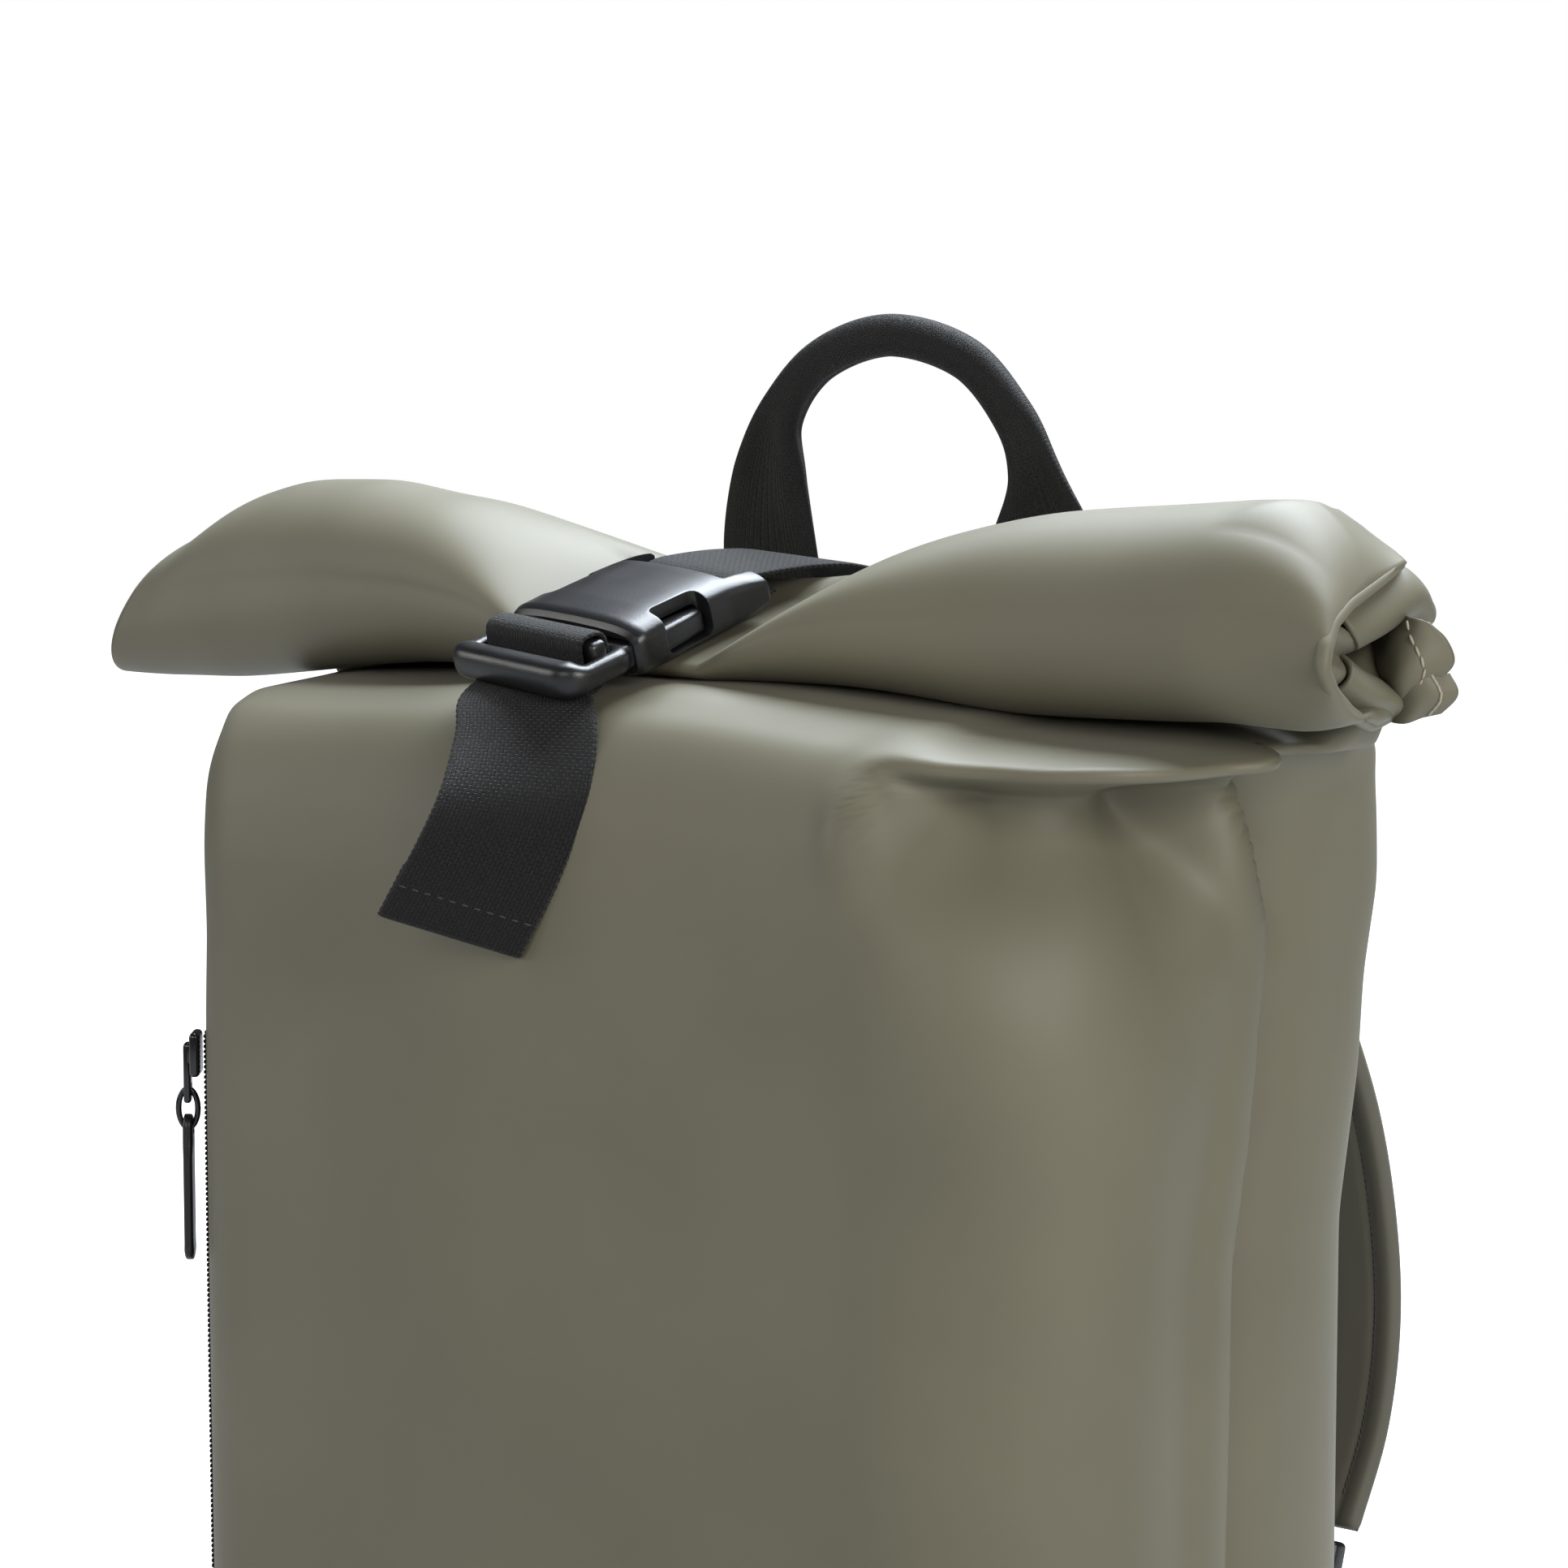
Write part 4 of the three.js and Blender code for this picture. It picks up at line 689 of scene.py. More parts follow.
finish_piece(front_web, black_webbing, "webbing", "front_strap")


def stitches(name, places, thread, slot, length, radius, *replaced):
    """A row of sewn stitches at places of point, direction and outward normal, in millimetres."""
    bpy.ops.object.select_all(action="DESELECT")
    bpy.ops.mesh.primitive_uv_sphere_add(segments=8, ring_count=5, radius=1)
    pattern = bpy.context.object
    bead = np.array([vertex.co[:] for vertex in pattern.data.vertices])
    loops = [list(polygon.vertices) for polygon in pattern.data.polygons]
    bpy.data.objects.remove(pattern)
    points, faces = [], []
    for at, direction, outward in places:
        direction, outward = Vector(direction).normalized(), Vector(outward).normalized()
        cross = direction.cross(outward).normalized()
        axes = np.array([cross * radius, outward * radius, direction * length / 2])
        start = len(points) * len(bead)
        points.append(bead @ axes + np.array(at[:]))
        faces.extend([[corner + start for corner in loop] for loop in loops])
    mesh = bpy.data.meshes.new(name)
    mesh.from_pydata((np.vstack(points) * MM).tolist(), [], faces)
    made = bpy.data.objects.new(name, mesh)
    bpy.context.scene.collection.objects.link(made)
    finish_piece(made, thread, slot, *replaced)


def plain_finish(name, colour, roughness, grain_depth=0.00006, coat=0.0):
    """A moulded, painted or thread finish: fine texture in the surface and a little wear in its gloss."""
    material, tree, shader = new_finish(name)
    link_range(tree, noise(tree, 60, 2), roughness - 0.06, roughness + 0.08, shader.inputs["Roughness"])
    raised(tree, shader, noise(tree, 3000, 2), 0.5, grain_depth)
    set_inputs(shader, Base_Color=(*colour, 1), Coat_Weight=coat)
    return material


dark_thread = plain_finish("dark_thread", (0.03, 0.03, 0.033), 0.6)
TAIL_STITCHES, STITCH_STEP, STITCH_UP = 11, 3.45, 7.5
tail_face = -tail_inner
tail_seam = tail_end - tail_down * STITCH_UP + tail_face * (WEB_THICKNESS / 2 + 0.1)
stitch_row = []
for number in range(TAIL_STITCHES):
    across = (number - (TAIL_STITCHES - 1) / 2) * STITCH_STEP
    stitch_row.append((tail_seam + tail_side * across, tail_side, tail_face))
stitches("tail_stitches", stitch_row, dark_thread, "webbing", 2.7, 0.34)


# Right end of the roll: the layers inside the outer turn come out as soft folds, and the mouth's
# hemmed edge shows as two leaves with a row of pale stitches along their rim.
def picked(shares, last):
    """The numbers of the rows or columns that lie at these shares."""
    return np.rint(shares * last).astype(int)


PATCH_COLUMNS, PATCH_STEPS = 44, 36


def cloth_patch(name, rows):
    """A small piece of folded cloth through rows of points."""
    lines = np.array([along_curve(row, PATCH_COLUMNS + 1)[0] for row in rows])
    grid = np.array([along_curve(line, PATCH_STEPS + 1)[0] for line in lines.transpose(1, 0, 2)])

    def place(row_share, column_share):
        return grid[picked(column_share, PATCH_COLUMNS), picked(row_share, PATCH_STEPS)]

    made = sheet(name, PATCH_STEPS, PATCH_COLUMNS, place)
    apply_modifier(made, "SOLIDIFY", thickness=ROLL_CLOTH * MM, offset=0)
    finish_piece(made, olive, "coated_cloth")
    return grid


cloth_patch("upper_fold", [
    [(176, -8, 419), (180, 8, 425), (180, 26, 430), (176, 38, 426)],
    [(189, -8, 418), (189, 7, 422), (188, 26, 427), (184, 38, 423)],
    [(193, -6, 413), (193, 9, 416), (192, 28, 421), (188, 40, 417)],
    [(188, 2, 409), (188, 14, 412), (188, 28, 416), (187, 38, 413)],
    [(176, 4, 411), (176, 15, 414), (176, 28, 417), (178, 34, 415)],
])
hem_leaf = cloth_patch("upper_leaf", [
    [(168, 24, 411), (168, 25, 409), (168, 26, 406), (169, 26, 403)],
    [(180, 27, 414), (180, 25, 409), (179, 24, 404), (178, 26, 399)],
    [(190, 22, 416), (189, 19, 410), (188, 18, 402), (186, 22, 396)],
    [(197, 18, 416), (197, 17, 410), (196, 15, 402), (192, 19, 395)],
    [(200, 19, 415), (203, 22, 411), (204, 24, 405), (200, 22, 400)],
])
lower_leaf = cloth_patch("lower_leaf", [
    [(182, 24, 397), (184, 24, 393), (184, 26, 389)],
    [(192, 19, 396), (194, 19, 393), (191, 21, 389)],
    [(198, 18, 401), (200, 20, 396), (196, 22, 391)],
    [(202, 25, 402), (204, 26, 397), (200, 25, 392)],
])
cloth_patch("lower_fold", [
    [(174, 2, 408), (174, 10, 404), (178, 20, 400), (184, 26, 396)],
    [(187, -1, 407), (187, 7, 403), (187, 18, 399), (189, 26, 395)],
    [(192, -6, 402), (193, 4, 397), (193, 14, 395), (191, 24, 392)],
    [(186, -9, 396), (186, 2, 392), (186, 14, 391), (186, 26, 389)],
])
cloth_patch("crumpled_fold", [
    [(180, -24, 424), (181, -6, 417), (180, 6, 412)],
    [(194, -23, 417), (192, -7, 413), (189, 3, 410)],
    [(191, -25, 410), (188, -9, 408), (184, 2, 407)],
    [(194, -25, 404), (191, -9, 403), (187, 2, 403)],
    [(186, -22, 396), (184, -8, 397), (182, 4, 400)],
])
# the outer turn's rim is rolled in to a soft lip, thinner at both ends
LIP_STEPS, LIP_SIDES = 89, 16
lip_turn = np.linspace(34, 318, LIP_STEPS + 1)
lip_path = np.column_stack(eased_columns(RIGHT_RIM, lip_turn, 4))
lip_ahead = unit(np.gradient(lip_path, axis=0))
lip_side = unit(np.cross(lip_ahead, (1.0, 0.2, 0.1)))
lip_up = np.cross(lip_side, lip_ahead)


def circle(count, first, second):
    """A ring of radius 1 in the plane of two axes."""
    around = np.linspace(0, 2 * np.pi, count, endpoint=False)
    return np.outer(np.cos(around), first) + np.outer(np.sin(around), second)


lip_rings = []
for share, at, side, up in zip(np.linspace(0, 1, LIP_STEPS + 1), lip_path, lip_side, lip_up):
    radius = 2.1 * math.sqrt(max(0.04, math.sin(math.pi * share) ** 0.5))
    lip_rings.append(at - up * 0.9 + radius * circle(LIP_SIDES, side, up))


def lip_place(row_share, ring_share):
    return np.array(lip_rings)[picked(row_share, LIP_STEPS), picked(ring_share, LIP_SIDES) % LIP_SIDES]


rim_lip = sheet("rim_lip", LIP_STEPS, LIP_SIDES, lip_place, closed=True)
finish_piece(rim_lip, olive, "coated_cloth")
pale_thread = plain_finish("pale_thread", (0.36, 0.32, 0.25), 0.7)
hem_places = []
for grid, first, last in ((hem_leaf, 4, 42), (lower_leaf, 2, 40)):
    for column in range(first, last, 6):
        at, before = grid[column, 29], grid[column, 26]
        onward = grid[column + 2, 29] - grid[column, 29]
        outward = np.cross(onward, at - before)
        outward *= np.sign(outward[0] - outward[1])
        hem_places.append((Vector(at) + Vector(outward).normalized() * 0.9, onward, outward))
stitches("hem_stitches", hem_places, pale_thread, "webbing", 3.0, 0.42)


# Buckle: a side-release buckle of satin black moulded plastic. The socket is a flat sleeve with a
# crowned top plate and a window in each side, where the plug's spring arms show. The plug's frame
# has a thick rounded front bar and a thinner middle bar for the webbing.
satin_plastic = plain_finish("satin_black_plastic", (0.009, 0.009, 0.01), 0.31, grain_depth=0.00012)


def loft(name, rings, closed_rings=False):
    """A tube through rings of equal length, each an array of points in millimetres. Its ends are
    filled unless the rings run in a circle."""
    rings = [np.array(ring, float) for ring in rings]
    columns = len(rings[0])
    if closed_rings:
        rings = rings + [rings[0]]
    grid = np.array(rings)
    last = len(grid) - 1

    def place(row_share, ring_share):
        return grid[picked(row_share, last), picked(ring_share, columns) % columns]

    made = sheet(name, last, columns, place, closed=True)
    if not closed_rings:
        choose(made)
        bpy.ops.object.mode_set(mode="EDIT")
        bpy.ops.mesh.select_all(action="DESELECT")
        bpy.ops.mesh.select_non_manifold()
        bpy.ops.mesh.edge_face_add()
        bpy.ops.object.mode_set(mode="OBJECT")
    face_outwards(made)
    return made


def squircle(half_x, half_z, count, power=4.0):
    """A rounded rectangle ring in X and Z."""
    angle = np.linspace(0, 2 * np.pi, count, endpoint=False)
    c, s = np.cos(angle), np.sin(angle)
    return half_x * np.sign(c) * np.abs(c) ** (2 / power), half_z * np.sign(s) * np.abs(s) ** (2 / power)


def to_place(piece, turn, place):
    """Moves a piece made in its own frame, in metres, to its place."""
    matrix = turn.to_4x4()
    matrix.translation = Vector(place) * MM
    piece.data.transform(matrix)


def block(low, high):
    """A block between two corners, in millimetres."""
    bpy.ops.object.select_all(action="DESELECT")
    bpy.ops.mesh.primitive_cube_add(size=1, location=[(a + b) / 2 * MM for a, b in zip(low, high)])
    made = bpy.context.object
    made.scale = [(b - a) * MM for a, b in zip(low, high)]
    bpy.ops.object.transform_apply(location=True, rotation=True, scale=True)
    return made


def cut_block(piece, low, high, corner=1.2):
    """Cuts a block with rounded edges out of a piece."""
    cutter = block(low, high)
    apply_modifier(cutter, "BEVEL", width=corner * MM, segments=3)
    apply_modifier(piece, "BOOLEAN", operation="DIFFERENCE", object=cutter, solver="EXACT")
    bpy.data.objects.remove(cutter)


def shade_by_angle(piece, degrees=50):
    choose(piece)
    bpy.ops.object.shade_smooth_by_angle(angle=math.radians(degrees))


SOCKET_FRONT, SOCKET_LENGTH = 24.7, 50
SOCKET_BACK = SOCKET_FRONT + SOCKET_LENGTH
# way back from the front edge, half width, top, bottom
SOCKET_SHAPE = np.array([
    (0, 25.2, 5.6, -6.4), (0.8, 26.4, 6.9, -7.1), (3, HALF_BUCKLE, 7.8, -7.4),
    (12, 26.6, 8.2, -7.5), (24, 25.6, 8.2, -7.5), (36, 25.4, 7.8, -7.2),
    (44, 26.2, 6.8, -6.3), (SOCKET_LENGTH - 1, 26.6, 5.6, -4.6), (SOCKET_LENGTH, 26, 4.6, -3.6),
])
socket_rings = []
for way in np.linspace(0, SOCKET_LENGTH, 46):
    y = SOCKET_FRONT + way
    half, top, bottom = (np.interp(way, SOCKET_SHAPE[:, 0], column) for column in SOCKET_SHAPE.T[1:])
    x, z = squircle(half, (top - bottom) / 2, 56, 5)
    # the top plate is crowned across and its rear edge is notched in the middle
    crown = 0.9 * (1 - (x / half) ** 2) * (z > 0)
    back_notch = -2.4 * bell(x, 9) * (z > 0) * smooth(y, SOCKET_BACK - 5, SOCKET_BACK)
    socket_rings.append(np.column_stack([x, y + 0 * x + back_notch, z + (top + bottom) / 2 + crown]))
socket = loft("socket", socket_rings)
cut_block(socket, (-23.6, SOCKET_FRONT - 3, -4), (23.6, 52.4, 4.2))
cut_block(socket, (-34, 35.5, -4.1), (-19.4, 53, 14), 2.4)
cut_block(socket, (19.4, 35.5, -4.1), (34, 53, 14), 2.4)
cut_block(socket, (-20.5, 63.3, -14), (20.5, 69.6, 14), 1.0)
cut_block(socket, (-20.5, 66.5, 2.1), (20.5, 79, 14), 0.8)
cut_block(socket, (-20.5, 66.5, -14), (20.5, 79, -2.1), 0.8)
apply_modifier(
    socket, "BEVEL", width=0.45 * MM, segments=3, limit_method="ANGLE", angle_limit=math.radians(28),
)
to_place(socket, buckle_turn, BUCKLE_PLACE)
finish_piece(socket, satin_plastic, "buckle_plastic", "buckle_socket")
shade_by_angle(socket, 40)

PLUG_FRONT, PLUG_BACK, PLUG_CORNER = 3.6, 23.6, 5.5
arc_x = HALF_BUCKLE - 3.3 - PLUG_CORNER
low, high = PLUG_FRONT + PLUG_CORNER, PLUG_BACK - PLUG_CORNER
plug_path = []
for x, y, start in ((arc_x, low, -90), (arc_x, high, 0), (-arc_x, high, 90), (-arc_x, low, 180)):
    turn = np.radians(np.linspace(start, start + 90, 9))
    plug_path.extend(np.column_stack([x + PLUG_CORNER * np.cos(turn), y + PLUG_CORNER * np.sin(turn)]))
dense_path = []
for first, second in zip(plug_path, np.roll(plug_path, -1, 0)):
    steps = max(1, int(np.linalg.norm(second - first) / 1.5))
    dense_path.extend(first + (second - first) * step / steps for step in range(steps))
dense_path = np.array(dense_path)
ahead = unit(np.roll(dense_path, -1, 0) - np.roll(dense_path, 1, 0))
outward = np.column_stack([ahead[:, 1], -ahead[:, 0]])
plug_rings = []
for (x, y), (out_x, out_y) in zip(dense_path, outward):
    front_share = smooth(-y, -9, -4)
    u, v = squircle(mix(2.9, 4.3, front_share), mix(3.3, 4.9, front_share), 26, 2.7)
    plug_rings.append(np.column_stack([x + out_x * u, y + out_y * u, v + 0.4 * front_share]))
plug = loft("plug_frame", plug_rings, closed_rings=True)
to_place(plug, buckle_turn, BUCKLE_PLACE)
finish_piece(plug, satin_plastic, "buckle_plastic", "buckle_plug")


def rounded_bar(name, low, high, radius, turn, place, material, slot, shrink=None, cuts=(), replaced=()):
    """A block with well rounded edges. Shrink narrows its far end along Y, and cuts are the blocks
    that are cut out of it."""
    made = block(low, high)
    made.name = name
    if shrink:
        for vertex in made.data.vertices:
            if vertex.co.y > (low[1] + high[1]) / 2 * MM:
                middle_x = (low[0] + high[0]) / 2 * MM
                vertex.co.x = middle_x + (vertex.co.x - middle_x) * shrink
    apply_modifier(made, "BEVEL", width=radius * MM, segments=4)
    for cut_low, cut_high, corner_radius in cuts:
        cut_block(made, cut_low, cut_high, corner_radius)
    to_place(made, turn, place)
    finish_piece(made, material, slot, *replaced)
    shade_by_angle(made)


def plug_part(name, low, high, radius, shrink=None):
    in_place = (buckle_turn, BUCKLE_PLACE, satin_plastic, "buckle_plastic")
    rounded_bar("plug_" + name, low, high, radius, *in_place, shrink)


SIDES = (("left", -1), ("right", 1))
plug_part("middle_bar", (-22, 12.9, 0.6), (22, 18.6, 7.0), 1.6)
plug_part("shoulder", (-24.5, 21.3, -3.2), (24.5, 26.8, 3.2), 1.2)
plug_part("guide", (-4, 24, -3), (4, 51, 3), 1.2, 0.8)
for side_name, side in SIDES:
    low_x, high_x = sorted((side * 16.5, side * 23.4))
    plug_part("arm_" + side_name, (low_x, 24, -3.3), (high_x, 36, 3.3), 1.4)
    low_x, high_x = sorted((side * 17, side * 25.6))
    plug_part("catch_" + side_name, (low_x, 35, -3.4), (high_x, 52, 3.4), 1.6, 0.55)


# Grab handle: the same webbing, sewn flat to the back and folded round itself into a soft grip at
# the top, with its two edges stitched together along the inside.
HANDLE_SPAN, HANDLE_TOP, HANDLE_Y, HANDLE_FOOT, HANDLE_BACK = 100, 493, 51, 348, 79.8
GRIP_WIDTH, GRIP_THICKNESS, LEG_WIDTH = 12.5, 9, 38
# shares of the span and of the rise, how flat the webbing is, and how far it leans forward
HANDLE_RUN = np.array([
    (-0.5, 0, 1, 0), (-0.5, 0.13, 1, 0.1), (-0.495, 0.28, 1, 0.35), (-0.485, 0.42, 1, 0.68),
    (-0.475, 0.54, 0.93, 0.88), (-0.45, 0.71, 0.55, 0.98), (-0.4, 0.84, 0.12, 1), (-0.25, 0.95, 0, 1),
    (0, 1, 0, 1), (0.27, 0.955, 0, 1), (0.44, 0.84, 0.04, 1), (0.51, 0.73, 0.25, 0.98),
    (0.53, 0.58, 1, 0.88), (0.52, 0.44, 1, 0.68), (0.51, 0.28, 1, 0.35), (0.5, 0.13, 1, 0.1),
    (0.5, 0, 1, 0),
])
across, rise, flatness, lean = HANDLE_RUN.T
handle_stations = np.column_stack([
    across * HANDLE_SPAN,
    mix(HANDLE_BACK, HANDLE_Y, lean),
    mix(HANDLE_FOOT, HANDLE_TOP - GRIP_WIDTH / 2, rise),
    flatness,
])
handle_path, handle_length = along_curve(handle_stations, 420)
handle_ahead = unit(np.gradient(handle_path[:, :3], axis=0))
handle_side = unit(np.cross(handle_ahead, np.array([0, 1.0, 0])))
handle_depth = unit(np.cross(handle_side, handle_ahead))
handle_rings = []
for at, side, depth in zip(handle_path, handle_side, handle_depth):
    flat = float(np.clip(at[3], 0, 1))
    width = mix(GRIP_WIDTH, LEG_WIDTH, flat)
    thick = mix(GRIP_THICKNESS, WEB_THICKNESS, math.sqrt(flat))
    u, v = squircle(width / 2, thick / 2, 40, mix(2.2, 3.6, flat))
    # the folded edges meet in a groove on the inner side, and the fold's pleats fade into the legs
    groove = 0.9 * (1 - flat) * bell(v, 1.0) * (u < 0)
    pleat = 1.1 * flat * (1 - flat) * 4 * np.sin(u / width * 9 + 0.4)
    handle_rings.append(at[:3] + np.outer(u + groove, side) + np.outer(v + pleat, depth))
handle = loft("handle", handle_rings)
scale_uv(handle, 2 * (LEG_WIDTH + 2), handle_length)
finish_piece(handle, black_webbing, "webbing", "grab_handle")


# Base panel: a flat stiffened panel of the same cloth under the sack, with a rounded rim.
base_ring = np.linspace(0, 1, 160, endpoint=False)
base_outline = sack_ring(sack_sizes(np.zeros(160)), base_ring)[:, :2]
base_rings = []
for z, inset in ((0, 1.4), (0.4, 0.4), (1.1, 0), (2.1, 0), (2.7, 0.4), (3, 1.4)):
    base_rings.append(np.column_stack([base_outline * (1 - inset / 90), np.full(160, z)]))
base = loft("base_board", base_rings)
finish_piece(base, olive, "coated_cloth", "base_panel")
shade_by_angle(base)


# Side zip near the front left corner: black woven tape sewn to the sack, a row of small moulded
# coils, and an enamelled slider whose ring holds a long pull tab.
ZIP_TOP, ZIP_BOTTOM, ZIP_WIDTH, ZIP_ANGLE, ZIP_SLIDER_Z = 288, 45, 16, 40, 279.5
zip_sections = sack_sizes(np.linspace(0, 1, 500))


def zip_at(z, arc, height):
    """A point over the zip's middle line, arc along the cloth and height off it."""
    half, front, corner = (np.interp(z, zip_sections[0], zip_sections[column]) for column in (1, 2, 4))
    angle = math.radians(ZIP_ANGLE) + arc / LEFT_CORNER
    reach = corner + height
    x, y = corner - half - reach * np.cos(angle), front + corner - reach * np.sin(angle)
    return np.column_stack([np.atleast_1d(x), np.atleast_1d(y), np.atleast_1d(z)])


zip_cloth = woven("zip_cloth", (0.012, 0.012, 0.013), rib=0.0007, dash=0.0014, depth=0.0002)


def zip_tape_place(up, across):
    return zip_at(mix(ZIP_BOTTOM, ZIP_TOP, up), (across - 0.5) * ZIP_WIDTH, 0.8)


zip_tape = sheet("zip_woven_tape", 160, 18, zip_tape_place)
scale_uv(zip_tape, ZIP_WIDTH, ZIP_TOP - ZIP_BOTTOM)
apply_modifier(zip_tape, "SOLIDIFY", thickness=0.9 * MM, offset=0)
finish_piece(zip_tape, zip_cloth, "webbing", "zip_tape")

zip_out = zip_at(ZIP_SLIDER_Z, 0, 1)[0] - zip_at(ZIP_SLIDER_Z, 0, 0)[0]
zip_turn = Matrix.Rotation(math.atan2(zip_out[1], zip_out[0]), 3, "Z")
zip_along = zip_turn @ Vector((0, 1, 0))
coil_plastic = plain_finish("zip_coil_plastic", (0.014, 0.014, 0.015), 0.4)
coils = []
for number, z in enumerate(np.arange(ZIP_BOTTOM + 2, ZIP_TOP - 2, 0.75)):
    shift = 1.25 if number % 2 else -1.25
    coils.append((zip_at(z, shift, 2.0)[0], zip_along, zip_out))
stitches("zip_coils", coils, coil_plastic, "buckle_plastic", 3.6, 0.62, "zip_teeth")

enamel = plain_finish("black_enamel", (0.008, 0.008, 0.009), 0.2, coat=0.4)
zip_place = zip_at(ZIP_SLIDER_Z, 0, 3.4)[0]
on_zip = (zip_turn, zip_place, enamel, "zip_metal")
rounded_bar("zip_slider_body", (0, -5, -6.5), (3, 5, 6.5), 1.3, *on_zip, replaced=("zip_slider",))
rounded_bar("zip_slider_bridge", (0.4, -2.3, -3.2), (5.1, 2.3, 3.2), 1, *on_zip)
lug_hole = ((-4, -1.3, -12.4), (12, 1.3, -8.6), 0.5)
rounded_bar("zip_slider_lug", (2.9, -2.3, -14.5), (5.1, 2.3, 2.6), 0.9, *on_zip, cuts=[lug_hole])

PULL_OUT, RING_DROP = 4, -16.2
ring_rings = []
for spoke in circle(48, (1, 0, 0), (0, 0, 1)):
    middle = spoke * (2.8, 0, 5.7) + (PULL_OUT, 0, RING_DROP)
    ring_rings.append(middle + 0.9 * circle(14, spoke, (0, 1, 0)))
pull_ring = loft("zip_ring", ring_rings, closed_rings=True)
to_place(pull_ring, zip_turn, zip_place)
finish_piece(pull_ring, enamel, "zip_metal", "pull_ring")

TAB_TOP, TAB_BOTTOM, TAB_HALF = -17.9, -60.9, 4
tab_rings = []
for share in (1 - np.cos(np.linspace(0, np.pi, 60))) / 2:
    z = mix(TAB_TOP, TAB_BOTTOM, share)
    from_end = min(TAB_TOP - z, z - TAB_BOTTOM)
    round_end = math.sqrt(max(0.02, 1 - max(0, 1 - from_end / TAB_HALF) ** 2))
    half_wide = TAB_HALF * round_end * (0.8 + 0.2 * smooth(share, 0.1, 0.3))
    u, v = squircle(1.6 * min(1, 0.55 + 0.45 * round_end), half_wide, 30, 3.2)
    # the wide faces are dished between two raised edges
    dished = smooth(share, 0.2, 0.3) * (1 - smooth(share, 0.86, 0.94))
    dish = -0.35 * np.sign(u) * bell(v, half_wide * 0.55) * dished
    tab_rings.append(np.column_stack([PULL_OUT + u + dish, v, np.full(30, z)]))
pull_tab = loft("zip_tab", tab_rings)
cut_block(pull_tab, (-4, -1.4, -23.6), (12, 1.4, -19.7), 0.5)
to_place(pull_tab, zip_turn, zip_place)
finish_piece(pull_tab, satin_plastic, "buckle_plastic", "pull_tab")
shade_by_angle(pull_tab)


# Back panel: a flat padded panel of darker cloth, sewn to the back through its foam along two seams
# and along its rim, so it swells between them.
pad_cloth = coated_cloth("pad_cloth", (0.075, 0.068, 0.052), 0.75, 0.35)
BACK_PAD_HALF, BACK_PAD_LOW, BACK_PAD_HIGH, BACK_PAD_CORNER = 125, 25, 345, 30
BACK_PAD_Y, BACK_PAD_THICK, BACK_SEAM_X = 87.3, 10, 44


def rounded_rim(from_edge, radius):
    """0 on an edge and 1 from a radius inside it, round between them."""
    return np.sqrt(1 - np.clip(1 - from_edge / radius, 0, 1) ** 2)


def pillow_ring(share):
    """Place across, from -1 to 1, and side of a flat ring, 1 on its outer side."""
    outer = share < 0.5
    return np.where(outer, 4 * share - 1, 3 - 4 * share), np.where(outer, 1.0, -1.0)


def back_pad_place(up, share):
    across, side = pillow_ring(share)
    z = mix(BACK_PAD_LOW, BACK_PAD_HIGH, up)
    from_end = np.minimum(z - BACK_PAD_LOW, BACK_PAD_HIGH - z)
    half = BACK_PAD_HALF - BACK_PAD_CORNER * (1 - rounded_rim(from_end, BACK_PAD_CORNER))
    x = across * half
    from_edge = np.minimum(half - np.abs(x), from_end)
    rim = BACK_PAD_THICK / 2 * rounded_rim(from_edge, BACK_PAD_THICK / 2)
    seam = bell(np.abs(x) - BACK_SEAM_X, 3.4) * smooth(from_edge, 8, 30)
    seam = np.maximum(seam, bell(from_edge - 8, 2.2))
    swell = 0.74 + 0.26 * smooth(from_edge, 6, 34)
    out = rim * np.where(side > 0, swell - 0.5 * seam, 1)
    return np.column_stack([x, BACK_PAD_Y + side * out, z])


back_panel = sheet("padded_back", 200, 300, back_pad_place, closed=True)
face_outwards(back_panel)
finish_piece(back_panel, pad_cloth, "pad_cloth", "back_panel")


# Shoulder straps: foam covered with the same coated cloth, thin at the rim and stitched along both
# edges. Their lower ends hold webbing that runs through a slider to a cloth tab low on the back.
SHOULDER_X, SHOULDER_TOP, SHOULDER_BOTTOM, SHOULDER_WIDTH, SHOULDER_THICK = 76, 340, 132, 62, 9
SHOULDER_Y, SHOULDER_STANDOFF, SHOULDER_HEM, STRAP_ROWS = 97.1, 68, 7, 220
# shares of the way down, of the stand-off, of the place across and of the width
SHOULDER_RUN = np.array([
    (0, 0, 0.62, 0.8), (0.07, 0.12, 0.67, 0.86), (0.13, 0.38, 0.76, 0.94), (0.2, 0.6, 0.86, 1),
    (0.34, 0.77, 0.94, 1), (0.5, 0.89, 0.98, 1), (0.68, 0.98, 1, 0.94), (0.85, 0.97, 1, 0.84),
    (1, 0.82, 1, 0.72),
])
strap_cloth = coated_cloth("strap_cloth", (0.105, 0.1, 0.075), 0.6, 0.15)


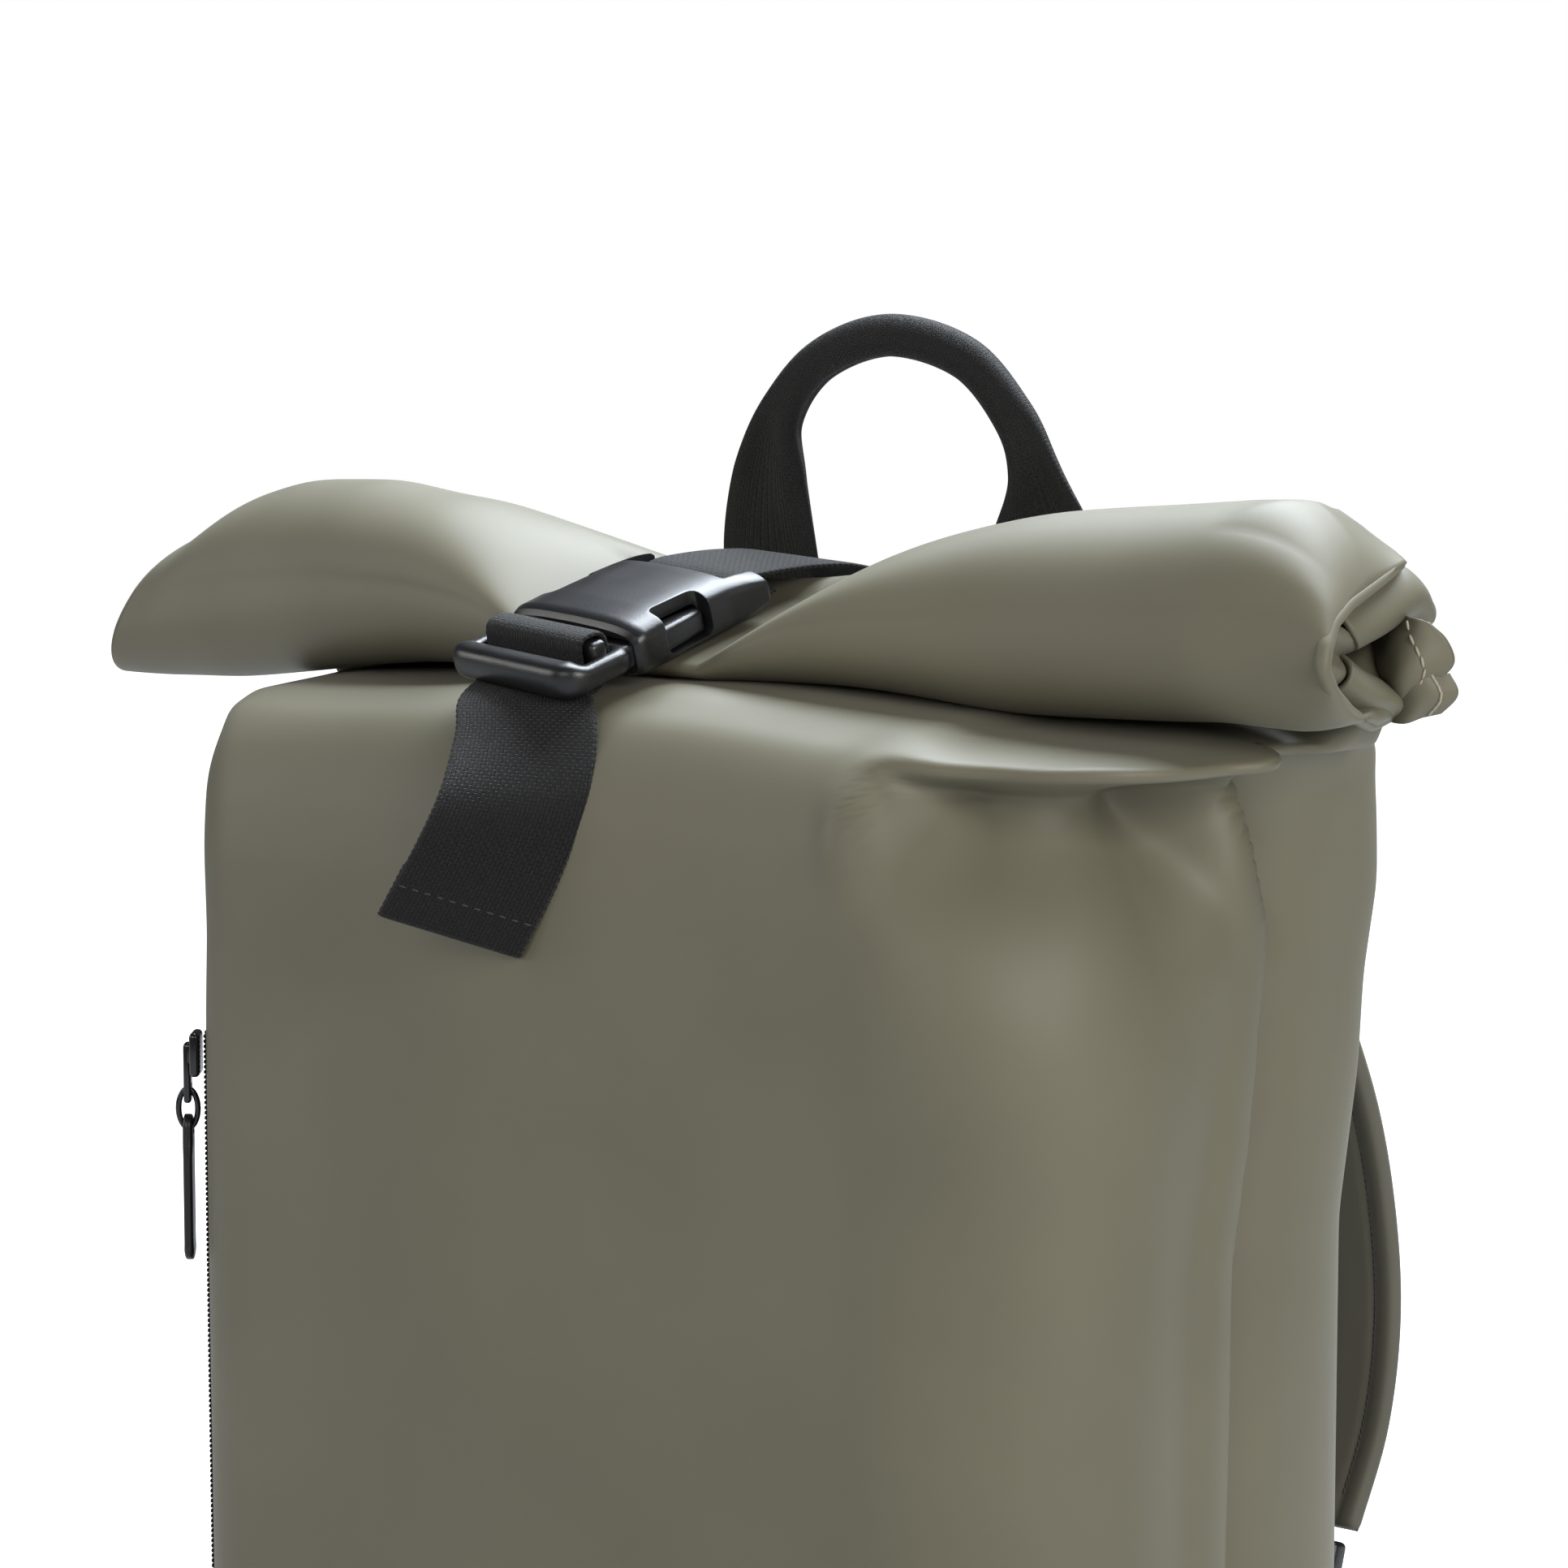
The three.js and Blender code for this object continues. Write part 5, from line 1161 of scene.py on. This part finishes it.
def shoulder_strap(name, side):
    """One padded strap; gives back its middle line and its way down, for what hangs on its end."""
    drop, out, across, width = SHOULDER_RUN.T
    stations = np.column_stack([
        side * SHOULDER_X * across,
        SHOULDER_Y + SHOULDER_STANDOFF * out,
        mix(SHOULDER_TOP, SHOULDER_BOTTOM, drop),
        width,
    ])
    path, length = along_curve(stations, STRAP_ROWS + 1)
    ahead = unit(np.gradient(path[:, :3], axis=0))
    normal = unit(np.cross(ahead, (1.0, 0, 0)))
    normal *= np.sign(normal[:, 1:2] + normal[:, 2:3] * 0.01)

    def place(down, share):
        row = picked(down, STRAP_ROWS)
        across, face = pillow_ring(share)
        half = SHOULDER_WIDTH * path[row, 3] / 2
        from_end = np.minimum(down, 1 - down) * length
        from_edge = half * (1 - np.abs(across))
        rim = rounded_rim(from_edge, 3.2) * rounded_rim(from_end, 3)
        groove = bell(from_edge - SHOULDER_HEM, 1.3)
        swell = 0.72 + 0.28 * smooth(from_edge, 5, 22) - 0.14 * groove
        thick = SHOULDER_THICK / 2 * rim * swell
        points = path[row, :3] + normal[row] * (face * thick)[:, None]
        points[:, 0] += across * half
        return points

    strap = sheet("padded_" + name, STRAP_ROWS, 96, place, closed=True)
    face_outwards(strap)
    finish_piece(strap, strap_cloth, "coated_cloth", name)
    seams = []
    for row in range(14, STRAP_ROWS - 8, 2):
        inside = SHOULDER_WIDTH * path[row, 3] / 2 - SHOULDER_HEM
        for across, face in ((-1, -1), (-1, 1), (1, -1), (1, 1)):
            at = path[row, :3] + (across * inside, 0, 0) + normal[row] * face * SHOULDER_THICK * 0.305
            seams.append((at, ahead[row], normal[row] * face))
    stitches(name + "_stitches", seams, dark_thread, "webbing", 2.0, 0.28)
    return path, ahead


ANCHOR_X, LOWER_WIDTH, ANCHOR_FACE = 104, 25, 97.65


def box_stitch(name, middle, half_x, half_z):
    """Dark stitches in a box with a cross, on a face towards the back."""
    corners = [(-half_x, -half_z), (half_x, -half_z), (half_x, half_z), (-half_x, half_z)]
    lines = list(zip(corners, corners[1:] + corners[:1]))
    lines += [(corners[0], corners[2]), (corners[1], corners[3])]
    places = []
    for (x_from, z_from), (x_to, z_to) in lines:
        count = max(2, round(math.hypot(x_to - x_from, z_to - z_from) / 2.8))
        for step in range(count):
            share = (step + 0.5) / count
            at = Vector(middle) + Vector((mix(x_from, x_to, share), 0, mix(z_from, z_to, share)))
            places.append((at, (x_to - x_from, 0, z_to - z_from), (0, 1, 0)))
    stitches(name, places, dark_thread, "webbing", 2.1, 0.3)


# low corner, high corner and edge radius of the slots that are cut out of a slider
SLIDER_SLOTS = [
    ((-13.4, -1.4, -14), (13.4, 1.4, 14), 0.4),
    ((-14, 0.5, -7), (14, 6, -1.8), 0.8),
    ((-14, 0.5, 1.8), (14, 6, 7), 0.8),
]
for side_name, side in SIDES:
    path, ahead = shoulder_strap("shoulder_strap_" + side_name, side)
    end, down = Vector(path[-1, :3]), Vector(ahead[-1])
    lower_runs = [
        [*(end - down * 5), 1, 0, 0],
        [*(end + down * 14), 1, 0, 0],
        [*(end + down * 28), 1, 0, 0],
        [side * 91.4, ANCHOR_FACE + 9, 76, 1, 0, 0],
        [side * ANCHOR_X, ANCHOR_FACE + 1, 58, 1, 0, 0],
        [side * ANCHOR_X, ANCHOR_FACE, 47, 1, 0, 0],
        [side * ANCHOR_X, ANCHOR_FACE, 35.5, 1, 0, 0],
    ]
    lower = tape("lower_tape_" + side_name, lower_runs, width=LOWER_WIDTH, step=1.1)
    finish_piece(lower, black_webbing, "webbing", "strap_webbing_" + side_name)
    box_stitch("anchor_stitches_" + side_name, (side * ANCHOR_X, ANCHOR_FACE + 0.9, 45), 9, 7.5)

    tilt = Matrix.Rotation(math.atan2(down.y, -down.z), 3, "X")
    rounded_bar(
        "ladder_slider_" + side_name, (-18, -3.5, -10), (18, 3.5, 10), 1.8,
        tilt, end + down * 14, satin_plastic, "buckle_plastic",
        cuts=SLIDER_SLOTS, replaced=("strap_slider_" + side_name,),
    )
    rounded_bar(
        "anchor_tab_" + side_name, (-17, 92.7, 32), (17, 96.5, 62), 1.5,
        Matrix.Identity(3), (side * ANCHOR_X, 0, 0), strap_cloth, "coated_cloth",
        replaced=("strap_anchor_" + side_name,),
    )

box_stitch("closure_strap_stitches", (0, 79.8, 360), 15, 7)
for side_name, side in SIDES:
    box_stitch("handle_stitches_" + side_name, (side * 50, 81.2, 357), 14, 7)
